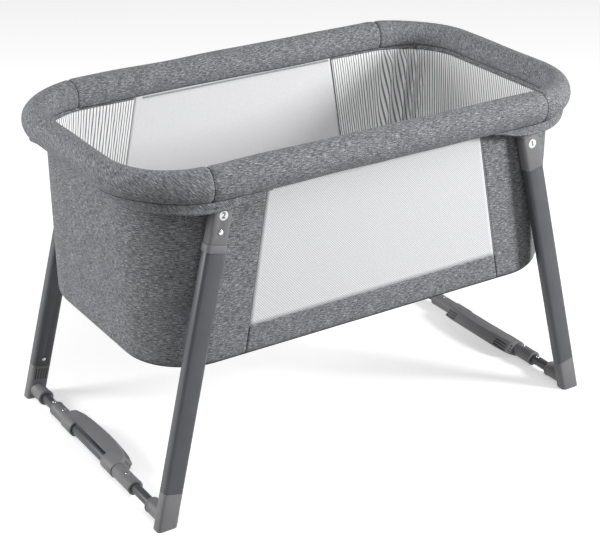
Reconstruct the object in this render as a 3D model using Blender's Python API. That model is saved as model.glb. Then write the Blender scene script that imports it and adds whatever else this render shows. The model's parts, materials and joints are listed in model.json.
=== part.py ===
"""Bassinet on a folding stand: a padded rim on four splayed legs, with a fabric tub and two rockers.

X runs along the bassinet, Y across it with the front at -Y, and Z is up.  The origin is on the floor,
under the middle of the bassinet.  Units are metres.
"""
import math

import bmesh
import bpy
from mathutils import Matrix, Vector

# ---------------------------------------------------------------- fits
GAP = 0.0003  # between pieces that touch or plug together
BORE_CLEARANCE = 0.0003  # around a pin, a button or a tube in its hole

# ---------------------------------------------------------------- rim
RIM_HALF_LENGTH = 0.433  # rim centreline, from the middle to each end
RIM_HALF_WIDTH = 0.2405  # rim centreline, from the middle to each long side
RIM_CORNER_RADIUS = 0.130
RIM_HEIGHT = 0.568  # rim centreline above the floor
RAIL_RADIUS = 0.009
RAIL_WALL = 0.0015
RAIL_SIDES = 10
RAIL_JOINT = 0.003  # end rails run this far past the corner onto the straight side
COVER_HALF_WIDTH = 0.026
COVER_HALF_HEIGHT = 0.0285
COVER_BEND_SHARE = 0.87  # the cover is drawn tighter by this round the bends and the ends
COVER_EASE_STEPS = 4  # corner steps over which it tightens
COVER_MOUTH_DEPTH = 0.006  # the slot under the cover starts this far below the centreline
COVER_SOCKET_CLEARANCE = 0.0018
COVER_PANEL_CLEARANCE = 0.001
CORNER_STEPS = 7
RIM_STRAIGHT_X = RIM_HALF_LENGTH - RIM_CORNER_RADIUS  # where the rim's straight sides end
RIM_STRAIGHT_Y = RIM_HALF_WIDTH - RIM_CORNER_RADIUS

# ---------------------------------------------------------------- tub
TUB_INSET = 0.0155  # outer face of the tub, inside the rim centreline
TUB_LOWER_INSET = TUB_INSET + 0.003
TUB_EDGE_INSET = TUB_INSET + 0.010
TUB_DEPTH = 0.320  # rim centreline to the tub's underside
TUB_BOTTOM = RIM_HEIGHT - TUB_DEPTH
TUB_EDGE_ROUND = 0.014
TUB_TOP_BELOW_RIM = 0.012
PANEL_THICKNESS = 0.002
LINING_THICKNESS = 0.0015
LINING_GAP = 0.001
LINING_TOP_BELOW_RIM = 0.0235
WINDOW_SILL = TUB_BOTTOM + 0.052
WINDOW_SHIFT = 0.008  # the foot of the front window sits this far towards +X, the back one's towards -X
WINDOW_CORNER_MARGIN = 0.035  # its seams stay this far from the round corners
WINDOW_HALF_BOTTOM = RIM_STRAIGHT_X - WINDOW_SHIFT - WINDOW_CORNER_MARGIN
WINDOW_SLANT = 0.057  # how much each seam leans in over the tub's depth
WINDOW_HALF_TOP = WINDOW_HALF_BOTTOM - WINDOW_SLANT
SEAM_GAP = 0.0006
MESH_THICKNESS = 0.0012
MESH_SET_BACK = 0.0004  # behind the panels' outer face
FLOOR_THICKNESS = 0.003
BOARD_THICKNESS = 0.004
MATTRESS_THICKNESS = 0.040
MATTRESS_EDGE_ROUND = 0.009
MATTRESS_CLEARANCE = 0.004  # between the mattress and the lining

# ---------------------------------------------------------------- legs
LEG_WIDTH = 0.035  # along X
LEG_DEPTH = 0.022  # along Y
LEG_CORNER = 0.006
LEG_WALL = 0.0015
LEG_CORNER_STEPS = 3
LEG_BEFORE_CORNER = 0.007  # a leg's axis meets the rim this far before the start of the corner
LEG_TUB_CLEARANCE = 0.0014
LEG_TOP_BELOW_RIM = 0.027
LEG_SPLAY_X = 0.131  # how far each foot stands out from its leg's top
LEG_SPLAY_Y = 0.0172
LEG_TOP_X = RIM_STRAIGHT_X - LEG_BEFORE_CORNER
LEG_TOP_Y = RIM_HALF_WIDTH - TUB_INSET + LEG_TUB_CLEARANCE + LEG_DEPTH / 2
LEG_TOP_Z = RIM_HEIGHT - LEG_TOP_BELOW_RIM
LEG_FOOT_X = LEG_TOP_X + LEG_SPLAY_X
LEG_FOOT_Y = LEG_TOP_Y + LEG_SPLAY_Y
PLUG_LENGTH = 0.030
TENON_WALL = 0.0022
TENON_LENGTH = 0.028
SOCKET_TOP_BELOW_RIM = 0.0065
LONG_SOCKET_BOTTOM = RIM_HEIGHT - 0.098
SHORT_SOCKET_BOTTOM = RIM_HEIGHT - 0.046
LONG_COLLAR_BOTTOM = RIM_HEIGHT - 0.108  # of the long collar, which goes with the short socket
SHORT_COLLAR_BOTTOM = RIM_HEIGHT - 0.111
COLLAR_PROUD = 0.0012
FOOT_TOP = 0.062
FOOT_SLOT_WIDTH = 0.0024
FOOT_SLOT_COUNT = 5
FOOT_SLOT_PITCH = (LEG_WIDTH - 0.009) / FOOT_SLOT_COUNT
FOOT_SLOT_TOP = FOOT_TOP - 0.005
FOOT_SLOT_BOTTOM = FOOT_SLOT_TOP - 0.021
FOOT_SLOT_DEPTH = 0.003
LEG_BUTTON_HEIGHT_LONG = LONG_SOCKET_BOTTOM + 0.020
LEG_BUTTON_HEIGHT_SHORT = SHORT_SOCKET_BOTTOM + 0.010
LEG_BUTTON_RADIUS = 0.0045
LEG_BUTTON_PROUD = 0.0025
LEG_BUTTON_LENGTH = 0.010
SCREW_HEIGHT = FOOT_TOP + 0.014
SCREW_HEAD_RADIUS = 0.0035
SCREW_HEAD_HEIGHT = 0.0018
SCREW_RADIUS = 0.0016
SCREW_LENGTH = 0.007

# ---------------------------------------------------------------- crossbars
STUB_RADIUS = 0.009
STUB_WALL = 0.0015
BOSS_WALL = 0.0045
BOSS_RADIUS = STUB_RADIUS + BORE_CLEARANCE + BOSS_WALL
BOSS_LIP_RADIUS = BOSS_RADIUS + 0.0007
BOSS_LIP = 0.003
BOSS_ROOT_INSIDE = 0.004  # the boss starts this far inboard of the foot's axis
BOSS_REACH = 0.0486
BOSS_END_Y = LEG_FOOT_Y - BOSS_REACH
STUB_SEAT_Y = LEG_FOOT_Y - LEG_DEPTH / 2 + 0.0004  # end of the stub inside the foot
BAR_FLOOR_CLEARANCE = 0.001
BAR_INBOARD = 0.003  # of the leg's foot
BAR_X = LEG_FOOT_X - BAR_INBOARD
BAR_Z = BOSS_LIP_RADIUS + BAR_FLOOR_CLEARANCE
MIDDLE_WALL = 0.0017
MIDDLE_RADIUS = STUB_RADIUS + BORE_CLEARANCE + MIDDLE_WALL
SLEEVE_WALL = 0.0021
SLEEVE_RADIUS = MIDDLE_RADIUS + BORE_CLEARANCE + SLEEVE_WALL
SLEEVE_LIP_RADIUS = SLEEVE_RADIUS + 0.0004
SLEEVE_LIP = 0.003
SLEEVE_END_WALL = 0.002
SHORT_SLEEVE_LENGTH = 0.0455
LONG_SLEEVE_LENGTH = 0.0625
SHORT_STUB_SHOWN = 0.045  # between the short sleeve and the boss
SHORT_BUTTON_PAST_ROCKER = 0.0125
LONG_BUTTON_PAST_ROCKER = 0.0345
STUB_PAST_BUTTON = 0.012
STUB_BUTTON_PAST_SLEEVE = 0.010
BAR_BUTTON_RADIUS = 0.0035
SLEEVE_BUTTON_PROUD = 0.0012
STUB_BUTTON_PROUD = 0.0022
SLEEVE_BUTTON_LENGTH = 0.0095
STUB_BUTTON_LENGTH = 0.0065
ROUND_SIDES = 20

# ---------------------------------------------------------------- rockers
ROCKER_CENTRE = 0.0155  # middle of the rocker, from the middle of the bar
ROCKER_END_GAP = 0.001
ROCKER_HALF_LENGTH = BOSS_END_Y - SHORT_STUB_SHOWN - SHORT_SLEEVE_LENGTH - ROCKER_END_GAP - ROCKER_CENTRE
ROCKER_BORE_CLEARANCE = 0.0004
ROCKER_COLLAR_WALL = 0.0036
ROCKER_COLLAR_RADIUS = MIDDLE_RADIUS + ROCKER_BORE_CLEARANCE + ROCKER_COLLAR_WALL
ROCKER_WEDGE = 0.0169
ROCKER_FACE_REACH = ROCKER_COLLAR_RADIUS + ROCKER_WEDGE  # bar axis to the rocking face
ROCKER_FACE_WIDTH = 0.021
ROCKER_TILT = math.radians(38)  # stowed angle of the rocking face's normal above level
ROCKER_ARC_RADIUS = 0.65
ROCKER_END_ROUND = 0.012
ROCKER_EDGE_ROUND = 0.003
ROCKER_END_SOLID = 0.0385  # beyond the window at each end
ROCKER_WINDOW_HALF = ROCKER_HALF_LENGTH - ROCKER_END_SOLID
ROCKER_WINDOW_EDGE = -0.0027
RIB_SLOT_HEIGHT = 0.0026
RIB_SLOT_DEPTH = 0.0045
FACE_SLOT_LENGTH = 0.030
FACE_SLOT_COUNT = 3
END_SLOT_COUNT = 4
SLOT_WEB = 0.0045  # between the long slots and the end slots
END_SLOT_FLOOR = 0.0015  # of plastic between the collar's round and the end slots
CUT_PAST = 0.01  # a cutter runs this far past what it cuts


# ---------------------------------------------------------------- making objects
def clear_scene():
    for item in list(bpy.data.objects):
        bpy.data.objects.remove(item, do_unlink=True)


def finish(name, colour, roughness, metallic=0.0):
    """A plain Principled material."""
    material = bpy.data.materials.new(name)
    material.use_nodes = True
    shader = material.node_tree.nodes["Principled BSDF"]
    shader.inputs["Base Color"].default_value = (*colour, 1.0)
    shader.inputs["Roughness"].default_value = roughness
    shader.inputs["Metallic"].default_value = metallic
    return material


def empty(name, place):
    item = bpy.data.objects.new(name, None)
    item.matrix_world = place
    bpy.context.collection.objects.link(item)
    return item


def loft(loops, closed=False):
    """A mesh through equal loops of points; its two ends are capped unless it closes on itself."""
    shape = bmesh.new()
    rings = [[shape.verts.new(point) for point in loop] for loop in loops]
    pairs = list(zip(rings, rings[1:]))
    if closed:
        pairs.append((rings[-1], rings[0]))
    else:
        shape.faces.new(rings[0])
        shape.faces.new(rings[-1])
    count = len(rings[0])
    for first, second in pairs:
        for i in range(count):
            j = (i + 1) % count
            shape.faces.new((first[i], first[j], second[j], second[i]))
    return shape


def boxes(places):
    """One mesh of separate boxes, each given by its lowest and highest corner."""
    shape = bmesh.new()
    for low, high in places:
        low, high = Vector(low), Vector(high)
        size = Matrix.Diagonal((*(high - low), 1.0))
        bmesh.ops.create_cube(shape, size=1.0, matrix=Matrix.Translation((low + high) / 2) @ size)
    return shape


def place_mesh(name, shape, material, parent=None, place=None, smooth=30):
    """An object from a bmesh, shaded smooth below an angle, at a place in its parent's frame."""
    bmesh.ops.recalc_face_normals(shape, faces=shape.faces[:])
    mesh = bpy.data.meshes.new(name)
    shape.to_mesh(mesh)
    shape.free()
    if material is not None:
        mesh.materials.append(material)
    if smooth:
        mesh.shade_smooth()
        mesh.set_sharp_from_angle(angle=math.radians(smooth))
    item = bpy.data.objects.new(name, mesh)
    bpy.context.collection.objects.link(item)
    item.parent = parent
    item.matrix_local = place if place is not None else Matrix.Identity(4)
    return item


def cutter(name, shape, parent=None, place=None):
    item = place_mesh(name, shape, None, parent, place, smooth=0)
    item.hide_render = True
    item.display_type = "WIRE"
    return item


def combine(item, operation, tool):
    """Adds an exact Boolean of one object with another."""
    step = item.modifiers.new(operation.lower() + "_" + tool.name, "BOOLEAN")
    step.operation = operation
    step.solver = "EXACT"
    step.object = tool


# ---------------------------------------------------------------- outlines
def fillet(points, radii, steps):
    """A closed outline through the corners given, each rounded by its own radius."""
    outline = []
    count = len(points)
    for i, corner in enumerate(points):
        corner = Vector(corner)
        before = (Vector(points[i - 1]) - corner).normalized()
        after = (Vector(points[(i + 1) % count]) - corner).normalized()
        if radii[i] <= 0:
            outline.append(corner)
            continue
        half = before.angle(after) / 2
        reach = radii[i] / math.tan(half)
        centre = corner + (before + after).normalized() * (radii[i] / math.sin(half))
        start = corner + before * reach - centre
        end = corner + after * reach - centre
        turn = math.atan2(start.x * end.y - start.y * end.x, start.dot(end))
        for step in range(steps + 1):
            outline.append(centre + Matrix.Rotation(turn * step / steps, 2) @ start)
    return outline


def leg_outline(inset, corner=LEG_CORNER):
    """The leg's section, drawn in by an inset (a negative one stands proud)."""
    half_x = LEG_WIDTH / 2 - inset
    half_y = LEG_DEPTH / 2 - inset
    corners = [(half_x, half_y), (-half_x, half_y), (-half_x, -half_y), (half_x, -half_y)]
    return fillet(corners, [max(corner - inset, 0.001)] * 4, LEG_CORNER_STEPS)


def at_height(outline, height):
    return [Vector((point[0], point[1], height)) for point in outline]


def circle(radius, sides=ROUND_SIDES):
    turns = [2 * math.pi * i / sides for i in range(sides)]
    return [(radius * math.cos(turn), radius * math.sin(turn)) for turn in turns]


def turned_along_y(profile, sides=ROUND_SIDES, closed=True):
    """A turned shape about the Y axis, from (radius, y) pairs."""
    loops = []
    for radius, y in profile:
        loops.append([Vector((a, y, b)) for a, b in circle(radius, sides)])
    return loft(loops, closed)


def turned_along_z(profile, sides=16):
    """A turned solid about the Z axis, from (radius, z) pairs."""
    return loft([at_height(circle(radius, sides), z) for radius, z in profile])


def pin_profile(radius, length, proud):
    """A push button: its flat foot inside, and its low dome standing proud of z = 0."""
    dome = [(radius, proud * 0.35), (radius * 0.85, proud * 0.75), (radius * 0.5, proud)]
    return [(radius, proud - length)] + dome


# ---------------------------------------------------------------- the rim's ring
def rim_frame(inset=0.0):
    """Points and outward directions round the rim centreline, moved inward by an inset.

    The ring starts at the middle of the right end and runs to the back, the left and the front.
    """
    frame = []
    for quarter, (side_x, side_y) in enumerate([(1, 1), (-1, 1), (-1, -1), (1, -1)]):
        for step in range(CORNER_STEPS + 1):
            turn = math.pi / 2 * (quarter + step / CORNER_STEPS)
            outward = Vector((math.cos(turn), math.sin(turn)))
            centre = Vector((side_x * RIM_STRAIGHT_X, side_y * RIM_STRAIGHT_Y))
            frame.append((centre + outward * (RIM_CORNER_RADIUS - inset), outward))
    return frame


def end_frame(side, inset, front_x, back_x):
    """The U round one end of the ring: front side, end and back side, with its two ends set by x."""
    radius = RIM_CORNER_RADIUS - inset
    frame = [(Vector((front_x, -(RIM_HALF_WIDTH - inset))), Vector((0.0, -1.0)))]
    for corner in (-1, 1):
        for step in range(CORNER_STEPS + 1):
            share = step / CORNER_STEPS
            turn = math.pi / 2 * (share - 1 if corner < 0 else share)
            outward = Vector((side * math.cos(turn), math.sin(turn)))
            centre = Vector((side * RIM_STRAIGHT_X, corner * RIM_STRAIGHT_Y))
            frame.append((centre + outward * radius, outward))
    frame.append((Vector((back_x, RIM_HALF_WIDTH - inset)), Vector((0.0, 1.0))))
    return frame


def placed_section(point, outward, section):
    """A section, given as (outward, up) pairs, at one point of the rim."""
    return [Vector((point.x + outward.x * u, point.y + outward.y * u, RIM_HEIGHT + w)) for u, w in section]


def sweep_section(frame, section):
    """Carries a section right round the rim."""
    return loft([placed_section(point, outward, section) for point, outward in frame], closed=True)


def tube_on_frame(frame, radius, wall):
    """A round tube with open ends along a frame of the rim."""
    shape = bmesh.new()
    rings = []
    for size in (radius, radius - wall):
        rings.append([])
        for point, outward in frame:
            ring = []
            for a, b in circle(size, RAIL_SIDES):
                spot = Vector((point.x + outward.x * a, point.y + outward.y * a, RIM_HEIGHT + b))
                ring.append(shape.verts.new(spot))
            rings[-1].append(ring)
    outer, inner = rings
    for skin in (outer, inner):
        for first, second in zip(skin, skin[1:]):
            for i in range(RAIL_SIDES):
                j = (i + 1) % RAIL_SIDES
                shape.faces.new((first[i], first[j], second[j], second[i]))
    for end in (0, -1):
        for i in range(RAIL_SIDES):
            j = (i + 1) % RAIL_SIDES
            shape.faces.new((outer[end][i], outer[end][j], inner[end][j], inner[end][i]))
    return shape


def cover_section(share):
    """The padded cover: an oval, hollow round the rail, with a mouth underneath for legs and tub."""
    half_width = COVER_HALF_WIDTH * share
    half_height = COVER_HALF_HEIGHT * share
    leg_edge = max(0.0, LEG_WIDTH / 2 - LEG_BEFORE_CORNER)
    curve_away = RIM_CORNER_RADIUS * (1 - math.cos(math.asin(leg_edge / RIM_CORNER_RADIUS)))
    leg_face = LEG_TOP_Y + LEG_DEPTH / 2 - RIM_HALF_WIDTH
    mouth_out = leg_face + curve_away + COVER_SOCKET_CLEARANCE
    mouth_in = TUB_INSET + PANEL_THICKNESS + COVER_PANEL_CLEARANCE
    hollow_steps = 8
    hollow = (RAIL_RADIUS + GAP) / math.cos(math.pi / RAIL_SIDES)  # its flats clear the rail's edges

    def oval_angle(u):
        return math.asin(math.sqrt(1 - (u / half_width) ** 2))

    start = -oval_angle(mouth_out)
    end = math.pi + oval_angle(mouth_in)
    section = []
    steps = 13
    for i in range(steps + 1):
        turn = start + (end - start) * i / steps
        section.append((half_width * math.cos(turn), half_height * math.sin(turn)))
    section.append((-mouth_in, -COVER_MOUTH_DEPTH))
    first = math.pi + math.asin(COVER_MOUTH_DEPTH / hollow)
    last = -math.asin(COVER_MOUTH_DEPTH / hollow)
    for i in range(hollow_steps + 1):
        turn = first + (last - first) * i / hollow_steps
        section.append((hollow * math.cos(turn), hollow * math.sin(turn)))
    section.append((mouth_out, -COVER_MOUTH_DEPTH))
    return section


def padded_cover():
    """The cover right round the rim, full on the long sides and tighter round the bends and ends."""
    loops = []
    for index, (point, outward) in enumerate(rim_frame()):
        quarter, step = divmod(index, CORNER_STEPS + 1)
        steps_past_side = CORNER_STEPS - step if quarter % 2 == 0 else step
        tightened = min(1.0, steps_past_side / COVER_EASE_STEPS)
        share = 1 - (1 - COVER_BEND_SHARE) * tightened
        loops.append(placed_section(point, outward, cover_section(share)))
    return loft(loops, closed=True)


# ---------------------------------------------------------------- tub surfaces
def wall_inset(height):
    """How far the tub's outer face is inside the rim centreline at a height."""
    levels = [
        (TUB_BOTTOM, TUB_EDGE_INSET),
        (TUB_BOTTOM + TUB_EDGE_ROUND * 0.4, TUB_EDGE_INSET - 0.005),
        (TUB_BOTTOM + TUB_EDGE_ROUND, TUB_LOWER_INSET),
        (RIM_HEIGHT - TUB_TOP_BELOW_RIM, TUB_INSET),
    ]
    for (low, low_inset), (high, high_inset) in zip(levels, levels[1:]):
        if height <= high:
            share = (height - low) / (high - low)
            return low_inset + (high_inset - low_inset) * share
    return TUB_INSET


def seam_x(height, side, face):
    """Where the slanted side of a window, or its seam below, crosses a height."""
    share = (height - TUB_BOTTOM) / (RIM_HEIGHT - TUB_BOTTOM)
    half = WINDOW_HALF_BOTTOM + (WINDOW_HALF_TOP - WINDOW_HALF_BOTTOM) * share
    return side * half - face * WINDOW_SHIFT * (1 - share)


def wall_levels(bottom, top):
    """The heights that a wall piece bends at."""
    bends = [TUB_BOTTOM + TUB_EDGE_ROUND * 0.4, TUB_BOTTOM + TUB_EDGE_ROUND]
    inner = [height for height in bends if bottom < height < top]
    return [bottom] + inner + [top]


def end_wall(side, bottom, top, depth, thickness):
    """A U-shaped sheet round one end of the tub, set in from the tub's outer face."""
    shape = bmesh.new()
    skins = []
    levels = wall_levels(bottom, top)
    for extra in (depth, depth + thickness):
        skin = []
        for height in levels:
            front_x = seam_x(height, side, -1) + side * SEAM_GAP
            back_x = seam_x(height, side, 1) + side * SEAM_GAP
            frame = end_frame(side, wall_inset(height) + extra, front_x, back_x)
            skin.append([shape.verts.new((point.x, point.y, height)) for point, _ in frame])
        skins.append(skin)
    close_skins(shape, skins)
    return shape


def flat_wall(face, bottom, top, depth, thickness):
    """A sheet between the two seams of the front (-1) or the back (1)."""
    shape = bmesh.new()
    skins = []
    for extra in (depth, depth + thickness):
        skin = []
        for height in wall_levels(bottom, top):
            y = face * (RIM_HALF_WIDTH - wall_inset(height) - extra)
            ends = [seam_x(height, -1, face) + SEAM_GAP, seam_x(height, 1, face) - SEAM_GAP]
            skin.append([shape.verts.new((x, y, height)) for x in ends])
        skins.append(skin)
    close_skins(shape, skins)
    return shape


def close_skins(shape, skins):
    """Faces two matching grids of points and joins them round their edges."""
    outer, inner = skins
    rows = len(outer)
    columns = len(outer[0])
    for grid in skins:
        for r in range(rows - 1):
            for c in range(columns - 1):
                shape.faces.new((grid[r][c], grid[r][c + 1], grid[r + 1][c + 1], grid[r + 1][c]))
    for r in (0, rows - 1):
        for c in range(columns - 1):
            shape.faces.new((outer[r][c], outer[r][c + 1], inner[r][c + 1], inner[r][c]))
    for c in (0, columns - 1):
        for r in range(rows - 1):
            shape.faces.new((outer[r][c], outer[r + 1][c], inner[r + 1][c], inner[r][c]))


def tray(inset, bottom, top, edge=0.0):
    """A flat rounded piece in the tub, with an optional rounded edge above and below."""
    levels = [(inset, bottom), (inset, top)]
    if edge > 0:
        levels = [
            (inset + edge, bottom),
            (inset + edge * 0.3, bottom + edge * 0.3),
            (inset, bottom + edge),
            (inset, top - edge),
            (inset + edge * 0.3, top - edge * 0.3),
            (inset + edge, top),
        ]
    loops = []
    for level_inset, height in levels:
        loops.append([Vector((point.x, point.y, height)) for point, _ in rim_frame(level_inset)])
    return loft(loops)


# ---------------------------------------------------------------- rim and tub pieces
def make_rim(metal, melange):
    straight = RIM_STRAIGHT_X - RAIL_JOINT
    for face, name in ((-1, "front_rail_tube"), (1, "back_rail_tube")):
        outward = Vector((0.0, float(face)))
        ends = [(Vector((x, face * RIM_HALF_WIDTH)), outward) for x in (-straight + GAP, straight - GAP)]
        place_mesh(name, tube_on_frame(ends, RAIL_RADIUS, RAIL_WALL), metal)
    for side, name in ((-1, "left_end_rail_tube"), (1, "right_end_rail_tube")):
        frame = end_frame(side, 0.0, side * straight, side * straight)
        place_mesh(name, tube_on_frame(frame, RAIL_RADIUS, RAIL_WALL), metal)
    place_mesh("rim_cover", padded_cover(), melange)


def make_tub(melange, netting, lining, board, pad):
    wall_bottom = TUB_BOTTOM + FLOOR_THICKNESS + GAP
    wall_top = RIM_HEIGHT - TUB_TOP_BELOW_RIM
    for side, name in ((-1, "left_end_panel"), (1, "right_end_panel")):
        place_mesh(name, end_wall(side, wall_bottom, wall_top, 0.0, PANEL_THICKNESS), melange)
    for face, name in ((-1, "front"), (1, "back")):
        strip = flat_wall(face, wall_bottom, WINDOW_SILL - GAP, 0.0, PANEL_THICKNESS)
        place_mesh(name + "_panel", strip, melange)
        window = flat_wall(face, WINDOW_SILL, wall_top, MESH_SET_BACK, MESH_THICKNESS)
        place_mesh(name + "_mesh", window, netting)
    place_mesh("tub_floor", tray(TUB_EDGE_INSET, TUB_BOTTOM, TUB_BOTTOM + FLOOR_THICKNESS), melange)

    depth = PANEL_THICKNESS + LINING_GAP
    lining_bottom = TUB_BOTTOM + TUB_EDGE_ROUND
    lining_top = RIM_HEIGHT - LINING_TOP_BELOW_RIM
    for side, name in ((-1, "left_lining"), (1, "right_lining")):
        place_mesh(name, end_wall(side, lining_bottom, lining_top, depth, LINING_THICKNESS), lining)

    board_inset = TUB_EDGE_INSET + PANEL_THICKNESS + LINING_GAP
    board_bottom = TUB_BOTTOM + FLOOR_THICKNESS + GAP
    board_top = board_bottom + BOARD_THICKNESS
    place_mesh("base_board", tray(board_inset, board_bottom, board_top), board)
    pad_inset = TUB_LOWER_INSET + depth + LINING_THICKNESS + MATTRESS_CLEARANCE
    pad_bottom = board_top + GAP
    pad_top = pad_bottom + MATTRESS_THICKNESS
    place_mesh("mattress", tray(pad_inset, pad_bottom, pad_top, edge=MATTRESS_EDGE_ROUND), pad)


# ---------------------------------------------------------------- legs
def leg_place(side, face):
    """The leg's frame: origin on the floor, z up its slanted axis, x along the bassinet."""
    foot = Vector((side * LEG_FOOT_X, face * LEG_FOOT_Y, 0.0))
    top = Vector((side * LEG_TOP_X, face * LEG_TOP_Y, LEG_TOP_Z))
    up = (top - foot).normalized()
    along = Vector((1.0, 0.0, 0.0))
    along = (along - up * along.dot(up)).normalized()
    across = up.cross(along)
    turn = Matrix((along, across, up)).transposed().to_4x4()
    return Matrix.Translation(foot) @ turn, up.z


def pointing(axis, direction):
    """A turn that carries +Z onto plus or minus a local axis."""
    target = Vector((direction, 0, 0)) if axis == "x" else Vector((0, direction, 0))
    return Vector((0, 0, 1)).rotation_difference(target).to_matrix().to_4x4()


def make_leg(side, face, tube_paint, plastic, chrome, steel, rail_tool, floor_tool, sky_tool):
    """One leg: foot, tube, collar with its tenon, socket, snap button and the foot's screw.

    Opposite corners match: front left and back right carry the long socket.
    """
    suffix = ("_front" if face < 0 else "_back") + ("_left" if side < 0 else "_right")
    place, rise = leg_place(side, face)
    frame = empty("leg_frame" + suffix, place)
    long_socket = side == face

    def along_leg(height):
        return height / rise

    # Foot: a casting with a plug in the tube, ribs on its inner face and the crossbar's boss.
    foot_top = along_leg(FOOT_TOP)
    outer = leg_outline(0.0)
    plug = leg_outline(LEG_WALL + BORE_CLEARANCE)
    loops = [at_height(outer, -CUT_PAST * 2), at_height(outer, foot_top)]
    loops += [at_height(plug, foot_top), at_height(plug, foot_top + PLUG_LENGTH)]
    foot = place_mesh("foot" + suffix, loft(loops), plastic, frame)
    combine(foot, "DIFFERENCE", floor_tool)
    bar_place = Matrix.Translation((side * BAR_X, 0.0, BAR_Z))
    boss_root = LEG_FOOT_Y - BOSS_ROOT_INSIDE
    profile = [
        (BOSS_RADIUS, face * boss_root),
        (BOSS_RADIUS, face * (BOSS_END_Y + BOSS_LIP)),
        (BOSS_LIP_RADIUS, face * (BOSS_END_Y + BOSS_LIP)),
        (BOSS_LIP_RADIUS, face * BOSS_END_Y),
    ]
    boss = cutter("boss_guide" + suffix, turned_along_y(profile, closed=False), place=bar_place)
    combine(foot, "UNION", boss)
    bore = STUB_RADIUS + BORE_CLEARANCE
    profile = [(bore, face * (STUB_SEAT_Y + GAP)), (bore, face * (BOSS_END_Y - CUT_PAST))]
    boss_bore = cutter("boss_bore" + suffix, turned_along_y(profile, closed=False), place=bar_place)
    combine(foot, "DIFFERENCE", boss_bore)
    slots = []
    inner_face = -face * LEG_DEPTH / 2
    for i in range(FOOT_SLOT_COUNT):
        x = (i - (FOOT_SLOT_COUNT - 1) / 2) * FOOT_SLOT_PITCH
        ys = sorted((inner_face + face * FOOT_SLOT_DEPTH, inner_face - face * CUT_PAST))
        low = (x - FOOT_SLOT_WIDTH / 2, ys[0], along_leg(FOOT_SLOT_BOTTOM))
        high = (x + FOOT_SLOT_WIDTH / 2, ys[1], along_leg(FOOT_SLOT_TOP))
        slots.append((low, high))
    combine(foot, "DIFFERENCE", cutter("foot_slots" + suffix, boxes(slots), frame))

    # Tube: open at both ends, on the foot's plug and the collar's plug.
    collar_bottom = along_leg(SHORT_COLLAR_BOTTOM if long_socket else LONG_COLLAR_BOTTOM)
    socket_bottom = along_leg(LONG_SOCKET_BOTTOM if long_socket else SHORT_SOCKET_BOTTOM)
    tube_bottom = foot_top + GAP
    tube_top = collar_bottom - GAP
    inner = leg_outline(LEG_WALL)
    loops = [at_height(outer, tube_bottom), at_height(outer, tube_top)]
    loops += [at_height(inner, tube_top), at_height(inner, tube_bottom)]
    tube = place_mesh("leg_tube" + suffix, loft(loops, closed=True), tube_paint, frame)

    # Screw through the tube's inner face into the foot's plug.
    inward = pointing("y", -face)
    seat = Matrix.Translation((0.0, inner_face, along_leg(SCREW_HEIGHT))) @ inward
    head = SCREW_HEAD_RADIUS
    profile = [
        (SCREW_RADIUS, -SCREW_LENGTH),
        (SCREW_RADIUS, GAP),
        (head, GAP),
        (head, GAP + SCREW_HEAD_HEIGHT * 0.5),
        (head * 0.6, GAP + SCREW_HEAD_HEIGHT),
    ]
    place_mesh("foot_screw" + suffix, turned_along_z(profile, 12), steel, frame, seat)
    hole = SCREW_RADIUS + BORE_CLEARANCE
    drill = turned_along_z([(hole, -SCREW_LENGTH - GAP), (hole, SCREW_HEAD_HEIGHT + CUT_PAST)], 12)
    drill = cutter("screw_hole" + suffix, drill, frame, seat)
    combine(tube, "DIFFERENCE", drill)
    combine(foot, "DIFFERENCE", drill)

    # Collar: plug in the tube below, tenon in the socket above.
    tenon_inset = TENON_WALL + BORE_CLEARANCE
    flange = leg_outline(-COLLAR_PROUD if long_socket else 0.0)
    tenon = leg_outline(tenon_inset)
    flange_top = socket_bottom - GAP
    button_height = along_leg(LEG_BUTTON_HEIGHT_LONG if long_socket else LEG_BUTTON_HEIGHT_SHORT)
    tenon_top = socket_bottom + TENON_LENGTH
    loops = [at_height(plug, collar_bottom - PLUG_LENGTH), at_height(plug, collar_bottom)]
    loops += [at_height(flange, collar_bottom), at_height(flange, flange_top)]
    loops += [at_height(tenon, flange_top), at_height(tenon, tenon_top)]
    collar = place_mesh("leg_collar" + suffix, loft(loops), plastic, frame)

    # Socket: a cup over the tenon, saddled under the rim rail.
    cup = leg_outline(TENON_WALL)
    loops = [at_height(cup, tenon_top + GAP), at_height(cup, socket_bottom)]
    loops += [at_height(outer, socket_bottom), at_height(outer, along_leg(RIM_HEIGHT) + CUT_PAST)]
    socket = place_mesh("socket" + suffix, loft(loops), plastic, frame)
    combine(socket, "DIFFERENCE", sky_tool)
    combine(socket, "DIFFERENCE", rail_tool)

    # Snap button: on the outer face of a long socket, on the end face of a short one.
    if long_socket:
        seat = Matrix.Translation((0.0, face * LEG_DEPTH / 2, button_height)) @ pointing("y", face)
    else:
        seat = Matrix.Translation((side * LEG_WIDTH / 2, 0.0, button_height)) @ pointing("x", side)
    profile = pin_profile(LEG_BUTTON_RADIUS, LEG_BUTTON_LENGTH, LEG_BUTTON_PROUD)
    place_mesh("snap_button" + suffix, turned_along_z(profile), chrome, frame, seat)
    travel = LEG_BUTTON_PROUD + TENON_WALL + BORE_CLEARANCE
    hole = LEG_BUTTON_RADIUS + BORE_CLEARANCE
    depth = LEG_BUTTON_LENGTH - LEG_BUTTON_PROUD + travel + BORE_CLEARANCE
    drill = turned_along_z([(hole, -depth), (hole, LEG_BUTTON_PROUD + CUT_PAST)])
    drill = cutter("button_hole" + suffix, drill, frame, seat)
    combine(collar, "DIFFERENCE", drill)
    combine(socket, "DIFFERENCE", drill)


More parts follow.
